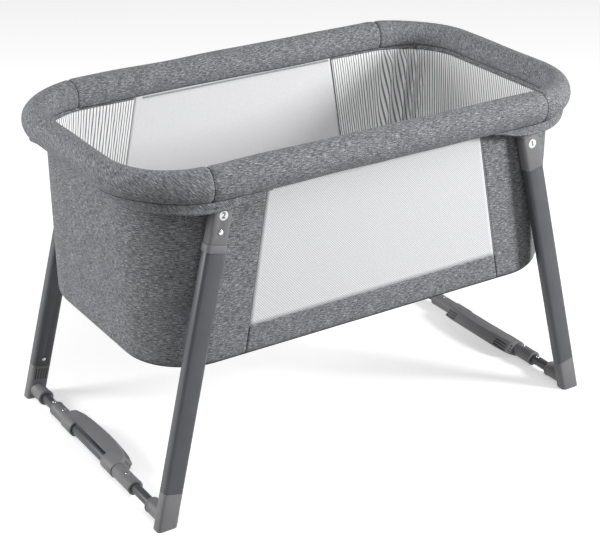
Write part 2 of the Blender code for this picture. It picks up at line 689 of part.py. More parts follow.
def make_legs(tube_paint, plastic, chrome, steel):
    reach = 2 * (RIM_HALF_LENGTH + LEG_SPLAY_X)
    rail = sweep_section(rim_frame(), circle(RAIL_RADIUS + GAP, RAIL_SIDES))
    rail_tool = cutter("rail_clearance", rail)
    floor_tool = cutter("below_floor", boxes([((-reach, -reach, -reach), (reach, reach, 0.0))]))
    socket_top = RIM_HEIGHT - SOCKET_TOP_BELOW_RIM
    sky = boxes([((-reach, -reach, socket_top), (reach, reach, socket_top + reach))])
    sky_tool = cutter("above_sockets", sky)
    for side in (-1, 1):
        for face in (-1, 1):
            make_leg(side, face, tube_paint, plastic, chrome, steel, rail_tool, floor_tool, sky_tool)


# ---------------------------------------------------------------- rockers
def rocker_section():
    """The rocker's section about the bar: a round collar with a wedge reaching to the rocking face."""
    normal = Vector((math.cos(ROCKER_TILT), math.sin(ROCKER_TILT)))
    across = Vector((math.sin(ROCKER_TILT), -math.cos(ROCKER_TILT)))
    upper = normal * ROCKER_FACE_REACH
    lower = upper + across * ROCKER_FACE_WIDTH

    def tangent_angle(point, turn):
        return math.atan2(point.y, point.x) + turn * math.acos(ROCKER_COLLAR_RADIUS / point.length)

    first = tangent_angle(upper, 1)
    last = tangent_angle(lower, -1) + 2 * math.pi
    arc = []
    steps = 18
    for i in range(steps + 1):
        turn = first + (last - first) * i / steps
        arc.append(Vector((math.cos(turn), math.sin(turn))) * ROCKER_COLLAR_RADIUS)
    corners = arc + [lower, upper]
    radii = [0.0] * len(arc) + [ROCKER_EDGE_ROUND] * 2
    return fillet(corners, radii, 4), normal, across


def rocker_plan():
    """The rocker seen along its rocking face: (y, reach) with an arc and two round ends."""
    sag = ROCKER_HALF_LENGTH**2 / (2 * ROCKER_ARC_RADIUS)
    shoulder = ROCKER_FACE_REACH - sag
    inner = ROCKER_HALF_LENGTH - ROCKER_END_ROUND
    back = -ROCKER_COLLAR_RADIUS - CUT_PAST
    plan = [Vector((-ROCKER_HALF_LENGTH, back)), Vector((ROCKER_HALF_LENGTH, back))]
    steps = 12
    round_steps = 4

    def rounded_end(turn, middle):
        y = middle + ROCKER_END_ROUND * math.cos(turn)
        return Vector((y, shoulder - ROCKER_END_ROUND * (1 - math.sin(turn))))

    for i in range(round_steps + 1):
        plan.append(rounded_end(math.pi / 2 * i / round_steps, inner))
    for i in range(1, steps):
        y = inner - 2 * inner * i / steps
        plan.append(Vector((y, ROCKER_FACE_REACH - y * y / (2 * ROCKER_ARC_RADIUS))))
    for i in range(round_steps + 1):
        plan.append(rounded_end(math.pi / 2 * (1 + i / round_steps), -inner))
    return plan


def rib_slots():
    """Slot cutters in the rocker's own axes: x away from the bar, y along it, z up the rocking face."""
    places = []
    half = RIB_SLOT_HEIGHT / 2
    end_inner = ROCKER_HALF_LENGTH - RIB_SLOT_DEPTH
    face_outer = end_inner - SLOT_WEB
    face_inner = face_outer - FACE_SLOT_LENGTH
    sag = face_outer**2 / (2 * ROCKER_ARC_RADIUS)
    floor_of_slot = ROCKER_FACE_REACH - sag - RIB_SLOT_DEPTH
    past_face = ROCKER_FACE_REACH + CUT_PAST
    for end in (-1, 1):
        for i in range(FACE_SLOT_COUNT):
            z = -ROCKER_FACE_WIDTH * (i + 1) / (FACE_SLOT_COUNT + 1)
            ys = sorted((end * face_inner, end * face_outer))
            places.append(((floor_of_slot, ys[0], z - half), (past_face, ys[1], z + half)))
        for i in range(END_SLOT_COUNT):
            z = -ROCKER_FACE_WIDTH * (i + 0.5) / END_SLOT_COUNT
            ys = sorted((end * end_inner, end * (ROCKER_HALF_LENGTH + CUT_PAST)))
            low = ROCKER_COLLAR_RADIUS + END_SLOT_FLOOR
            places.append(((low, ys[0], z - half), (past_face, ys[1], z + half)))
    return places


def make_rocker(name, frame, plastic):
    section, normal, across = rocker_section()
    ends = (ROCKER_CENTRE - ROCKER_HALF_LENGTH, ROCKER_CENTRE + ROCKER_HALF_LENGTH)
    loops = [[Vector((point.x, y, point.y)) for point in section] for y in ends]
    rocker = place_mesh(name, loft(loops), plastic, frame)
    plan = rocker_plan()
    loops = []
    reach_across = ROCKER_FACE_REACH + ROCKER_FACE_WIDTH
    for depth in (-reach_across, reach_across):
        loop = []
        for y, reach in plan:
            spot = normal * reach + across * depth
            loop.append(Vector((spot.x, y + ROCKER_CENTRE, spot.y)))
        loops.append(loop)
    combine(rocker, "INTERSECT", cutter(name + "_plan", loft(loops), frame))
    turn = Matrix((
        (normal.x, 0.0, -across.x, 0.0),
        (0.0, 1.0, 0.0, ROCKER_CENTRE),
        (normal.y, 0.0, -across.y, 0.0),
        (0.0, 0.0, 0.0, 1.0),
    ))
    combine(rocker, "DIFFERENCE", cutter(name + "_slots", boxes(rib_slots()), frame, turn))
    radius = MIDDLE_RADIUS + ROCKER_BORE_CLEARANCE
    bore_ends = (ends[0] - CUT_PAST, ends[1] + CUT_PAST)
    bore = turned_along_y([(radius, y) for y in bore_ends], closed=False)
    combine(rocker, "DIFFERENCE", cutter(name + "_bore", bore, frame))
    past_collar = ROCKER_COLLAR_RADIUS + CUT_PAST
    low = (-past_collar, ROCKER_CENTRE - ROCKER_WINDOW_HALF, -past_collar)
    high = (ROCKER_WINDOW_EDGE, ROCKER_CENTRE + ROCKER_WINDOW_HALF, past_collar)
    combine(rocker, "DIFFERENCE", cutter(name + "_window", boxes([(low, high)]), frame))


# ---------------------------------------------------------------- crossbars
def make_crossbar(side, tube_paint, plastic, chrome):
    """One crossbar, in a frame on its axis whose x points inboard.

    The right crossbar is the left one turned half round.
    """
    name = "_left" if side < 0 else "_right"
    turn = Matrix.Identity(4) if side < 0 else Matrix.Rotation(math.pi, 4, "Z")
    frame = empty("crossbar_axis" + name, Matrix.Translation((side * BAR_X, 0.0, BAR_Z)) @ turn)
    rocker_end = {
        1: ROCKER_CENTRE + ROCKER_HALF_LENGTH + ROCKER_END_GAP,
        -1: ROCKER_CENTRE - ROCKER_HALF_LENGTH - ROCKER_END_GAP,
    }
    sleeve_end = {1: rocker_end[1] + SHORT_SLEEVE_LENGTH, -1: rocker_end[-1] - LONG_SLEEVE_LENGTH}
    button_y = {1: rocker_end[1] + SHORT_BUTTON_PAST_ROCKER, -1: rocker_end[-1] - LONG_BUTTON_PAST_ROCKER}

    tube_inner = STUB_RADIUS + BORE_CLEARANCE
    ends = [sleeve_end[way] - way * (SLEEVE_END_WALL + GAP) for way in (-1, 1)]
    profile = [(MIDDLE_RADIUS, ends[0]), (MIDDLE_RADIUS, ends[1])]
    profile += [(tube_inner, ends[1]), (tube_inner, ends[0])]
    middle = place_mesh("crossbar_tube" + name, turned_along_y(profile), tube_paint, frame)
    make_rocker("rocker" + name, frame, plastic)

    for way in (-1, 1):
        # The half turn of the right crossbar carries its +Y end to the front.
        corner = ("_back" if way * -side > 0 else "_front") + name
        sleeve_bore = MIDDLE_RADIUS + BORE_CLEARANCE
        outer_y = sleeve_end[way]
        lip_y = outer_y - way * SLEEVE_LIP
        wall_y = outer_y - way * SLEEVE_END_WALL
        profile = [
            (sleeve_bore, rocker_end[way]),
            (SLEEVE_RADIUS, rocker_end[way]),
            (SLEEVE_RADIUS, lip_y),
            (SLEEVE_LIP_RADIUS, lip_y),
            (SLEEVE_LIP_RADIUS, outer_y),
            (tube_inner, outer_y),
            (tube_inner, wall_y),
            (sleeve_bore, wall_y),
        ]
        sleeve = place_mesh("sleeve" + corner, turned_along_y(profile), plastic, frame)
        stub_inner = STUB_RADIUS - STUB_WALL
        stub_ends = (button_y[way] - way * STUB_PAST_BUTTON, way * STUB_SEAT_Y)
        profile = [(STUB_RADIUS, stub_ends[0]), (STUB_RADIUS, stub_ends[1])]
        profile += [(stub_inner, stub_ends[1]), (stub_inner, stub_ends[0])]
        stub = place_mesh("stub" + corner, turned_along_y(profile), tube_paint, frame)

        seat = Matrix.Translation((0.0, button_y[way], SLEEVE_RADIUS))
        profile = pin_profile(BAR_BUTTON_RADIUS, SLEEVE_BUTTON_LENGTH, SLEEVE_BUTTON_PROUD)
        place_mesh("sleeve_button" + corner, turned_along_z(profile), chrome, frame, seat)
        hole = BAR_BUTTON_RADIUS + BORE_CLEARANCE
        drill = turned_along_z([(hole, -SLEEVE_RADIUS), (hole, CUT_PAST)])
        drill = cutter("sleeve_button_hole" + corner, drill, frame, seat)
        for piece in (sleeve, middle, stub):
            combine(piece, "DIFFERENCE", drill)
        if way > 0:
            y = outer_y + STUB_BUTTON_PAST_SLEEVE
            seat = Matrix.Translation((0.0, y, STUB_RADIUS))
            profile = pin_profile(BAR_BUTTON_RADIUS, STUB_BUTTON_LENGTH, STUB_BUTTON_PROUD)
            place_mesh("stub_button" + corner, turned_along_z(profile), chrome, frame, seat)
            drill = turned_along_z([(hole, -STUB_RADIUS), (hole, CUT_PAST)])
            combine(stub, "DIFFERENCE", cutter("stub_button_hole" + corner, drill, frame, seat))


# ---------------------------------------------------------------- the whole bassinet
clear_scene()
slate_paint = finish("slate_paint", (0.075, 0.078, 0.085), 0.45, 0.1)
grey_plastic = finish("grey_plastic", (0.13, 0.13, 0.14), 0.55)
chrome_finish = finish("chrome", (0.75, 0.75, 0.76), 0.15, 1.0)
zinc_steel = finish("zinc_steel", (0.62, 0.62, 0.62), 0.35, 1.0)
grey_melange = finish("grey_melange", (0.14, 0.14, 0.145), 0.95)
white_mesh = finish("white_mesh", (0.78, 0.78, 0.80), 0.9)
striped_lining = finish("striped_lining", (0.70, 0.70, 0.71), 0.95)
board_grey = finish("board", (0.25, 0.25, 0.26), 0.8)
mattress_white = finish("mattress_cloth", (0.80, 0.80, 0.80), 0.9)

make_rim(slate_paint, grey_melange)
make_tub(grey_melange, white_mesh, striped_lining, board_grey, mattress_white)
make_legs(slate_paint, grey_plastic, chrome_finish, zinc_steel)
for bar_side in (-1, 1):
    make_crossbar(bar_side, slate_paint, grey_plastic, chrome_finish)
bpy.context.view_layer.update()
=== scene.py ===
"""Bassinet on a stand: its cloth, padding and finishes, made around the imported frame."""
import json
import math

import bmesh
import bpy
from mathutils import Matrix, Vector, noise

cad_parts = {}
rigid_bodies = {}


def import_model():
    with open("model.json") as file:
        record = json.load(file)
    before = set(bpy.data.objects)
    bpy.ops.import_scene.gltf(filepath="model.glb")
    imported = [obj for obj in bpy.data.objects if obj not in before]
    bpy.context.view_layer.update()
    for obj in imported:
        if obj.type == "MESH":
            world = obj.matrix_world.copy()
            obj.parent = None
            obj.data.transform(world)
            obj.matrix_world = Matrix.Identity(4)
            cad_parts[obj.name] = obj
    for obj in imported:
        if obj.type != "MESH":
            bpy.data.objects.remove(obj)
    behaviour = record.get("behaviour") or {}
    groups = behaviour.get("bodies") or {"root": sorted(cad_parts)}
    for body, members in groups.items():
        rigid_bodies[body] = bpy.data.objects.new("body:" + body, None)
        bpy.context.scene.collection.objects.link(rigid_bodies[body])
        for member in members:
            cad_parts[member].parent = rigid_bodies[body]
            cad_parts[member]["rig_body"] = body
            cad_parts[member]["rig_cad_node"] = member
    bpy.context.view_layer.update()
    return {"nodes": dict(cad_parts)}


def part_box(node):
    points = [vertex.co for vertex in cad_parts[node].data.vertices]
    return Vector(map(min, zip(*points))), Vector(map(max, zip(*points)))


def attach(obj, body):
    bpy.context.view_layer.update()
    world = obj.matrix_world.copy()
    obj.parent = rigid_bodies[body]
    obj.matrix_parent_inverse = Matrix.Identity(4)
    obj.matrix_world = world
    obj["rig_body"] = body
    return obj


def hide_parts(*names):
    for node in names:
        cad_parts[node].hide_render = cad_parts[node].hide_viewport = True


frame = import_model()
nodes = frame["nodes"]
scene = bpy.context.scene


# ---- Studio: a white paper floor that glows a little, as a lit sweep does, under a pale sky. A key
# softbox stands to the front right, one fills from the back left and one from overhead, and a long
# lens looks down from the front left.
def linear(hex_colour):
    """An sRGB hex colour as the linear red, green, blue and alpha that a shader takes."""
    levels = [int(hex_colour[i:i + 2], 16) / 255 for i in (1, 3, 5)]
    return tuple(v / 12.92 if v <= 0.04045 else ((v + 0.055) / 1.055) ** 2.4 for v in levels) + (1.0,)


def add_node(tree, kind, inputs=None, **settings):
    """Adds a node; its inputs map a socket to a value or to another node's output."""
    node = tree.nodes.new(kind)
    for key, value in settings.items():
        setattr(node, key, value)
    for socket, value in (inputs or {}).items():
        if isinstance(value, bpy.types.NodeSocket):
            tree.links.new(value, node.inputs[socket])
        else:
            node.inputs[socket].default_value = value
    return node


def new_material(name):
    """An empty material, its node tree and its output node."""
    material = bpy.data.materials.new(name)
    material.use_nodes = True
    material.node_tree.nodes.clear()
    return material, material.node_tree, material.node_tree.nodes.new("ShaderNodeOutputMaterial")


def deselect():
    bpy.ops.object.select_all(action="DESELECT")


deselect()
floor_half = 9.0
bpy.ops.mesh.primitive_plane_add(size=2 * floor_half, location=(0.0, 0.0, 0.0))
studio_floor = bpy.context.object
studio_floor.name = "studio_floor"
floor_paper, tree, output = new_material("seamless_paper")
paper = add_node(tree, "ShaderNodeBsdfDiffuse", {"Color": linear("#f2f2f2")})
glow = add_node(tree, "ShaderNodeEmission", {"Color": linear("#ffffff"), "Strength": 0.42})
shader = add_node(tree, "ShaderNodeAddShader", {0: paper.outputs[0], 1: glow.outputs[0]})
tree.links.new(shader.outputs[0], output.inputs["Surface"])
studio_floor.data.materials.append(floor_paper)
studio_floor.visible_diffuse = False  # a lit sweep this bright would flatten the shade underneath

world = bpy.data.worlds.new("white_studio")
scene.world = world
world.use_nodes = True
world.node_tree.nodes["Background"].inputs["Color"].default_value = linear("#ffffff")
sky = world.node_tree
seen = add_node(sky, "ShaderNodeLightPath").outputs["Is Camera Ray"]
brightness = add_node(sky, "ShaderNodeMix", {"Factor": seen, "A": 0.33, "B": 0.97})  # white where it is seen
sky.links.new(brightness.outputs[0], sky.nodes["Background"].inputs["Strength"])
scene.view_settings.view_transform = "Standard"

lamps = (
    ("key_softbox", (2.1, -2.3, 1.5), 0.7, 92.0),
    ("left_softbox", (-2.4, 1.3, 1.2), 1.0, 52.0),
    ("overhead_softbox", (-0.3, -1.1, 2.4), 1.4, 13.0),
)
for name, place, size, power in lamps:
    lamp = bpy.data.lights.new(name, "AREA")
    lamp.size = size
    lamp.energy = power
    holder = bpy.data.objects.new(name, lamp)
    scene.collection.objects.link(holder)
    holder.location = place
    holder.rotation_euler = (Vector((0.0, 0.0, 0.3)) - holder.location).to_track_quat("-Z", "Y").to_euler()

camera_target = Vector((-0.0311, -0.0408, 0.2555))
camera_azimuth = math.radians(-32.72)
camera_elevation = math.radians(25.76)
camera_distance = 2.7959
camera = bpy.data.objects.new("camera", bpy.data.cameras.new("camera"))
scene.collection.objects.link(camera)
camera.data.lens = 95.0
camera.data.sensor_width = 36.0
toward_camera = Vector((
    math.sin(camera_azimuth) * math.cos(camera_elevation),
    -math.cos(camera_azimuth) * math.cos(camera_elevation),
    math.sin(camera_elevation),
))
camera.location = camera_target + toward_camera * camera_distance
camera.rotation_euler = (-toward_camera).to_track_quat("-Z", "Y").to_euler()
scene.camera = camera


# ---- Painted tubes: the rim's rails, the four splayed legs, and the crossbars with their sliding
# stubs. Each is drawn steel tube under a satin slate powder coat, which shows a faint orange peel.
def relief(tree, height, distance, strength=1.0):
    """A bump from a height output, with its depth in metres."""
    return add_node(tree, "ShaderNodeBump", {"Height": height, "Distance": distance, "Strength": strength})


def speckle(tree, coordinates, grain, detail=2.0):
    """Fine noise with grains of a size in metres, read in the given coordinates."""
    return add_node(
        tree, "ShaderNodeTexNoise", {"Vector": coordinates, "Scale": 1.0 / grain, "Detail": detail}
    ).outputs["Fac"]


def varied(tree, factor, dark, light, low=0.35, high=0.65):
    """A colour that runs from dark to light with a factor."""
    ramp = add_node(tree, "ShaderNodeValToRGB", {"Fac": factor})
    ramp.color_ramp.elements[0].position = low
    ramp.color_ramp.elements[0].color = linear(dark)
    ramp.color_ramp.elements[1].position = high
    ramp.color_ramp.elements[1].color = linear(light)
    return ramp.outputs["Color"]


def coated(name, dark, light, roughness, grain, depth, mottle=0.05):
    """A satin moulded or painted surface: two close colours, a fine grain and slightly uneven gloss."""
    material, tree, output = new_material(name)
    place = add_node(tree, "ShaderNodeTexCoord").outputs["Object"]
    colour = varied(tree, speckle(tree, place, mottle, 4.0), dark, light)
    fine = speckle(tree, place, grain)
    gloss = add_node(tree, "ShaderNodeMapRange", {"Value": speckle(tree, place, mottle / 3)})
    gloss.inputs["To Min"].default_value = roughness - 0.05
    gloss.inputs["To Max"].default_value = roughness + 0.05
    shader = add_node(tree, "ShaderNodeBsdfPrincipled", {
        "Base Color": colour, "Roughness": gloss.outputs[0], "Normal": relief(tree, fine, depth).outputs[0],
    })
    tree.links.new(shader.outputs[0], output.inputs["Surface"])
    return material


powder_coat = coated("slate_powder_coat", "#46484c", "#4c4e53", 0.42, 0.0009, 0.00004)


def dress(node_name, material, edge, sharp=35.0):
    """Stands a fine copy of a frame piece in its place: welded, its long edges eased, and its finish on."""
    node = nodes[node_name]
    deselect()
    piece = node.copy()
    piece.data = node.data.copy()
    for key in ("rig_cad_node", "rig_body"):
        del piece[key]
    piece.parent = None
    scene.collection.objects.link(piece)
    piece.name = node_name + "_finished"
    piece.data.name = piece.name
    piece.select_set(True)
    bpy.context.view_layer.objects.active = piece
    bpy.ops.object.mode_set(mode="EDIT")
    bpy.ops.mesh.select_all(action="SELECT")
    bpy.ops.mesh.remove_doubles(threshold=0.000005)
    bpy.ops.mesh.dissolve_limited(angle_limit=math.radians(0.4))
    bpy.ops.object.mode_set(mode="OBJECT")
    if edge > 0:
        ease = piece.modifiers.new("eased_edges", "BEVEL")
        ease.width = edge
        ease.segments = 2
        ease.limit_method = "ANGLE"
        ease.angle_limit = math.radians(sharp)
        ease.use_clamp_overlap = True
        bpy.ops.object.modifier_apply(modifier=ease.name)
    bpy.ops.object.shade_smooth_by_angle(angle=math.radians(sharp))
    piece.data.materials.clear()
    piece.data.materials.append(material)
    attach(piece, node["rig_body"])
    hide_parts(node_name)
    return piece


corners = [face + "_" + side for face in ("front", "back") for side in ("left", "right")]
tube_names = ["front_rail_tube", "back_rail_tube", "left_end_rail_tube", "right_end_rail_tube"]
tube_names += ["crossbar_tube_left", "crossbar_tube_right"]
for corner in corners:
    tube_names += ["leg_tube_" + corner, "stub_" + corner]
for name in tube_names:
    dress(name, powder_coat, 0.0003)

# ---- Mouldings: leg sockets and collars, feet, the sleeves on the crossbars and the two rockers,
# all in mid-grey glass-filled nylon from textured moulds, a little lighter than the painted tubes.
nylon = coated("grey_moulded_nylon", "#737375", "#7c7c7e", 0.55, 0.0006, 0.00005)
for corner in corners:
    for name in ("socket_", "leg_collar_", "foot_", "sleeve_"):
        dress(name + corner, nylon, 0.0005)
for side in ("left", "right"):
    dress("rocker_" + side, nylon, 0.0006)

# ---- Push buttons: turned steel pins with domed ends, polished and chrome plated, which hold each
# leg in its socket and lock the sleeves and stubs of the crossbars.
chrome, tree, output = new_material("chrome_plate")
place = add_node(tree, "ShaderNodeTexCoord").outputs["Object"]
shader = add_node(tree, "ShaderNodeBsdfPrincipled", {
    "Base Color": linear("#d9d9db"), "Metallic": 1.0, "Roughness": 0.14,
    "Normal": relief(tree, speckle(tree, place, 0.002), 0.00002).outputs[0],
})
tree.links.new(shader.outputs[0], output.inputs["Surface"])
button_names = ["snap_button_" + corner for corner in corners]
button_names += ["sleeve_button_" + corner for corner in corners]
button_names += ["stub_button_back_left", "stub_button_front_right"]
for name in button_names:
    dress(name, chrome, 0.0002, sharp=50.0)

# ---- Foot screws: small zinc-plated steel pan heads, one low on the inner face of each leg tube,
# which pin the tube to its foot. Their heads are plain, with no drive cut in them.
zinc, tree, output = new_material("zinc_plate")
place = add_node(tree, "ShaderNodeTexCoord").outputs["Object"]
shader = add_node(tree, "ShaderNodeBsdfPrincipled", {
    "Base Color": varied(tree, speckle(tree, place, 0.001), "#b9b9ba", "#e2e2e2"),
    "Metallic": 1.0, "Roughness": 0.3,
    "Normal": relief(tree, speckle(tree, place, 0.0005), 0.00002).outputs[0],
})
tree.links.new(shader.outputs[0], output.inputs["Surface"])
for corner in corners:
    dress("foot_screw_" + corner, zinc, 0.0002)

# ---- Tub walls: two U-shaped end panels and a strip below each window, cut from grey melange linen
# and backed with thin foam. They hang from the rim and are sewn to the floor along a piped edge.
# All that is sewn follows the rim's line, a rounded rectangle through the middle of the rail.
rail_low, rail_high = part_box("front_rail_tube")
_, end_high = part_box("right_end_rail_tube")
rail_radius = (rail_high.y - rail_low.y) / 2
rim_height = (rail_low.z + rail_high.z) / 2
rim_half_width = -(rail_low.y + rail_high.y) / 2
rim_half_length = end_high.x - rail_radius
rail_joint = 0.0033  # the front and back rails end this far short of the corners
corner_radius = rim_half_length - rail_high.x - rail_joint
corner_arc = corner_radius * math.pi / 2
centre_x = rim_half_length - corner_radius
centre_y = rim_half_width - corner_radius
rim_round = 4 * (centre_x + centre_y + corner_arc)


def rim_spot(distance, inset=0.0):
    """A point on the rim's line and the way out from it, drawn in by an inset.

    Distance runs from the middle of the front to the right end, the back and the left end.
    """
    rest = (distance + centre_x) % rim_round
    centres = [(-centre_x, -centre_y), (centre_x, -centre_y), (centre_x, centre_y), (-centre_x, centre_y)]
    for quarter in range(4):
        turn = math.pi / 2 * (quarter - 1)
        straight = 2 * (centre_x if quarter % 2 == 0 else centre_y)
        if rest <= straight:
            outward = Vector((math.cos(turn), math.sin(turn)))
            start = Vector(centres[quarter]) + outward * (corner_radius - inset)
            return start + Vector((-outward.y, outward.x)) * rest, outward
        rest -= straight
        if rest <= corner_arc:
            turn += rest / corner_radius
            outward = Vector((math.cos(turn), math.sin(turn)))
            return Vector(centres[(quarter + 1) % 4]) + outward * (corner_radius - inset), outward
        rest -= corner_arc
    return rim_spot(0.0, inset)


def rim_point(distance, outward_by, height):
    """A point beside the rim's line, out from it by a distance, at a height."""
    spot, _ = rim_spot(distance, -outward_by)
    return Vector((spot.x, spot.y, height))


def cloth_surface(name, rows, ring=False, tube=False):
    """A cloth surface through rows of points, with a UV map laid out in metres of cloth.

    A ring joins each row's last point to its first, and a tube joins the last row to the first.
    """
    shape = bmesh.new()
    grid = [[shape.verts.new(point) for point in row] for row in rows]
    layer = shape.loops.layers.uv.new("cloth")
    width = len(rows[0])
    along = [0.0]
    for c in range(width):
        along.append(along[-1] + (rows[0][(c + 1) % width] - rows[0][c]).length)
    across = [0.0]
    middle = width // 2
    for r in range(len(rows)):
        across.append(across[-1] + (rows[(r + 1) % len(rows)][middle] - rows[r][middle]).length)
    for r in range(len(rows) if tube else len(rows) - 1):
        for c in range(width if ring else width - 1):
            spots = [(r, c), (r, c + 1), (r + 1, c + 1), (r + 1, c)]
            face = shape.faces.new([grid[i % len(rows)][j % width] for i, j in spots])
            for loop, (i, j) in zip(face.loops, spots):
                loop[layer].uv = (along[j], across[i])
    mesh = bpy.data.meshes.new(name)
    shape.to_mesh(mesh)
    shape.free()
    mesh.shade_smooth()
    piece = bpy.data.objects.new(name, mesh)
    scene.collection.objects.link(piece)
    return piece


def apply_modifier(piece, kind, **settings):
    """Adds a modifier to a piece and applies it."""
    deselect()
    piece.select_set(True)
    bpy.context.view_layer.objects.active = piece
    step = piece.modifiers.new(kind.lower(), kind)
    for key, value in settings.items():
        setattr(step, key, value)
    bpy.ops.object.modifier_apply(modifier=step.name)


def sew_on(piece, material, slot, *replaced):
    """Gives a cloth piece its material and fixes it to the stand's body in place of frame pieces."""
    piece.data.materials.append(material)
    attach(piece, "stand_and_tub")
    if replaced:
        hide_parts(*replaced)
    return piece


def ramped(value, low, high):
    """A smooth rise from 0 to 1 between two values."""
    share = min(1.0, max(0.0, (value - low) / (high - low)))
    return share * share * (3 - 2 * share)


def melange_linen(name, bias=0.0):
    """Linen-look weave of dark, mid and pale fibre-dyed threads, at an angle to the cut.

    The yarns are 0.5 mm, too fine to show, so slubs 0.8 mm wide and 7 mm long stand for them. Some
    weft yarns lie together in longer, thicker streaks.
    """
    slub_width = 0.0008
    slub_length = 0.007
    weft_share = 0.68
    streak_share = 0.28
    material, tree, output = new_material(name)
    cloth = add_node(tree, "ShaderNodeUVMap", uv_map="cloth").outputs["UV"]
    turned = add_node(tree, "ShaderNodeMapping", {"Vector": cloth, "Rotation": (0.0, 0.0, bias)}).outputs[0]
    threads = []
    for width, length in (
        (slub_length, slub_width), (slub_width, slub_length), (2.4 * slub_length, 1.4 * slub_width),
    ):
        laid = add_node(tree, "ShaderNodeMapping", {
            "Vector": turned, "Scale": (1.0 / width, 1.0 / length, 1.0),
        })
        slub = add_node(tree, "ShaderNodeTexNoise", {
            "Vector": laid.outputs[0], "Scale": 1.0, "Detail": 2.0, "Roughness": 0.5,
        })
        threads.append(slub.outputs["Fac"])
    weft, warp, streak = threads
    mixed = add_node(tree, "ShaderNodeMix", {"Factor": 1 - weft_share, "A": weft, "B": warp})
    streaked = add_node(tree, "ShaderNodeMix", {"Factor": streak_share, "A": mixed.outputs[0], "B": streak})
    weave = streaked.outputs[0]
    ramp = add_node(tree, "ShaderNodeValToRGB", {"Fac": weave})
    steps = ramp.color_ramp.elements
    for position, colour in ((0.38, "#424347"), (0.465, "#6c6d70"), (0.535, "#8f9093"), (0.63, "#cecfd1")):
        steps.new(position).color = linear(colour)
    steps.remove(steps[0])
    steps.remove(steps[-1])
    shade = varied(tree, speckle(tree, cloth, 0.03, 3.0), "#dcdcdc", "#ffffff")
    colour = add_node(tree, "ShaderNodeMix", {"Factor": 0.5}, data_type="RGBA", blend_type="MULTIPLY")
    tree.links.new(ramp.outputs["Color"], colour.inputs[6])
    tree.links.new(shade, colour.inputs[7])
    shader = add_node(tree, "ShaderNodeBsdfPrincipled", {
        "Base Color": colour.outputs[2], "Roughness": 0.92, "Specular IOR Level": 0.2,
        "Sheen Weight": 0.08, "Sheen Roughness": 0.5, "Normal": relief(tree, weave, 0.0007).outputs[0],
    })
    tree.links.new(shader.outputs[0], output.inputs["Surface"])
    return material


linen = melange_linen("melange_linen")
linen_on_bias = melange_linen("melange_linen_on_bias", math.radians(45))

floor_low, floor_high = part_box("tub_floor")
panel_low, panel_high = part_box("right_end_panel")
mesh_low, mesh_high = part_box("front_mesh")
strip_low, strip_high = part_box("front_panel")
tub_bottom = floor_low.z
wall_bottom = panel_low.z
wall_top = panel_high.z
wall_thickness = 0.002
cloth_thickness = wall_thickness - 0.0002  # a little less, so that it stays clear of the lining
edge_round = 0.014
top_inset = rim_half_length - panel_high.x  # wall's outer face inside the rim's line
low_inset = top_inset + 0.003
edge_inset = rim_half_width + floor_low.y
window_sill = mesh_low.z
seam_half = 0.0006  # each wall piece stops this far from the middle of its seam


def wall_inset(height):
    """The wall's outer face inside the rim's line: nearly upright, with a round lower edge."""
    rise = height - tub_bottom
    if rise < edge_round:
        share = 1 - rise / edge_round
        return low_inset + (edge_inset - low_inset) * share ** 2
    share = (rise - edge_round) / (wall_top - tub_bottom - edge_round)
    return low_inset + (top_inset - low_inset) * min(1.0, share)


def seam_x(height, side, face):
    """The slanted seam beside a window, at a height. The back's seams are the front's, turned half round."""
    way = -face * side
    foot, sill = (strip_high.x, mesh_high.x) if way > 0 else (strip_low.x, mesh_low.x)
    x = foot + (sill - foot) * (height - wall_bottom) / (window_sill - wall_bottom)
    return -face * (x + way * seam_half)


def end_span(side, height):
    """The stretch of the rim's line that an end panel covers at a height."""
    if side > 0:
        first, last = seam_x(height, 1, -1), rim_round / 2 - seam_x(height, 1, 1)
    else:
        first, last = rim_round / 2 - seam_x(height, -1, 1), rim_round + seam_x(height, -1, -1)
    return first + seam_half, last - seam_half


def window_distance(x, face):
    """Where a place on a long side lies along the rim's line."""
    return x if face < 0 else rim_round / 2 - x


def even_heights(bottom, top, step):
    count = max(2, round((top - bottom) / step))
    return [bottom + (top - bottom) * i / count for i in range(count + 1)]


def slack(distance, height, seed, size):
    """The small unevenness of cloth that hangs between its seams, in metres."""
    spot = Vector((distance * 9.0, height * 5.0, seed))
    return size * noise.noise(spot)


def puckers(distance, below_top, seed):
    """Short pulls in the cloth just under the rim, beside the legs, where the wall is gathered."""
    near_leg = 0.0
    for leg in leg_distances:
        gap = abs((distance - leg + rim_round / 2) % rim_round - rim_round / 2)
        near_leg = max(near_leg, math.exp(-((gap / pucker_reach) ** 2)))
    pull = noise.noise(Vector((distance * 34.0 + below_top * 60.0, below_top * 22.0, seed)))
    return pucker_depth * near_leg * math.exp(-below_top / pucker_drop) * pull


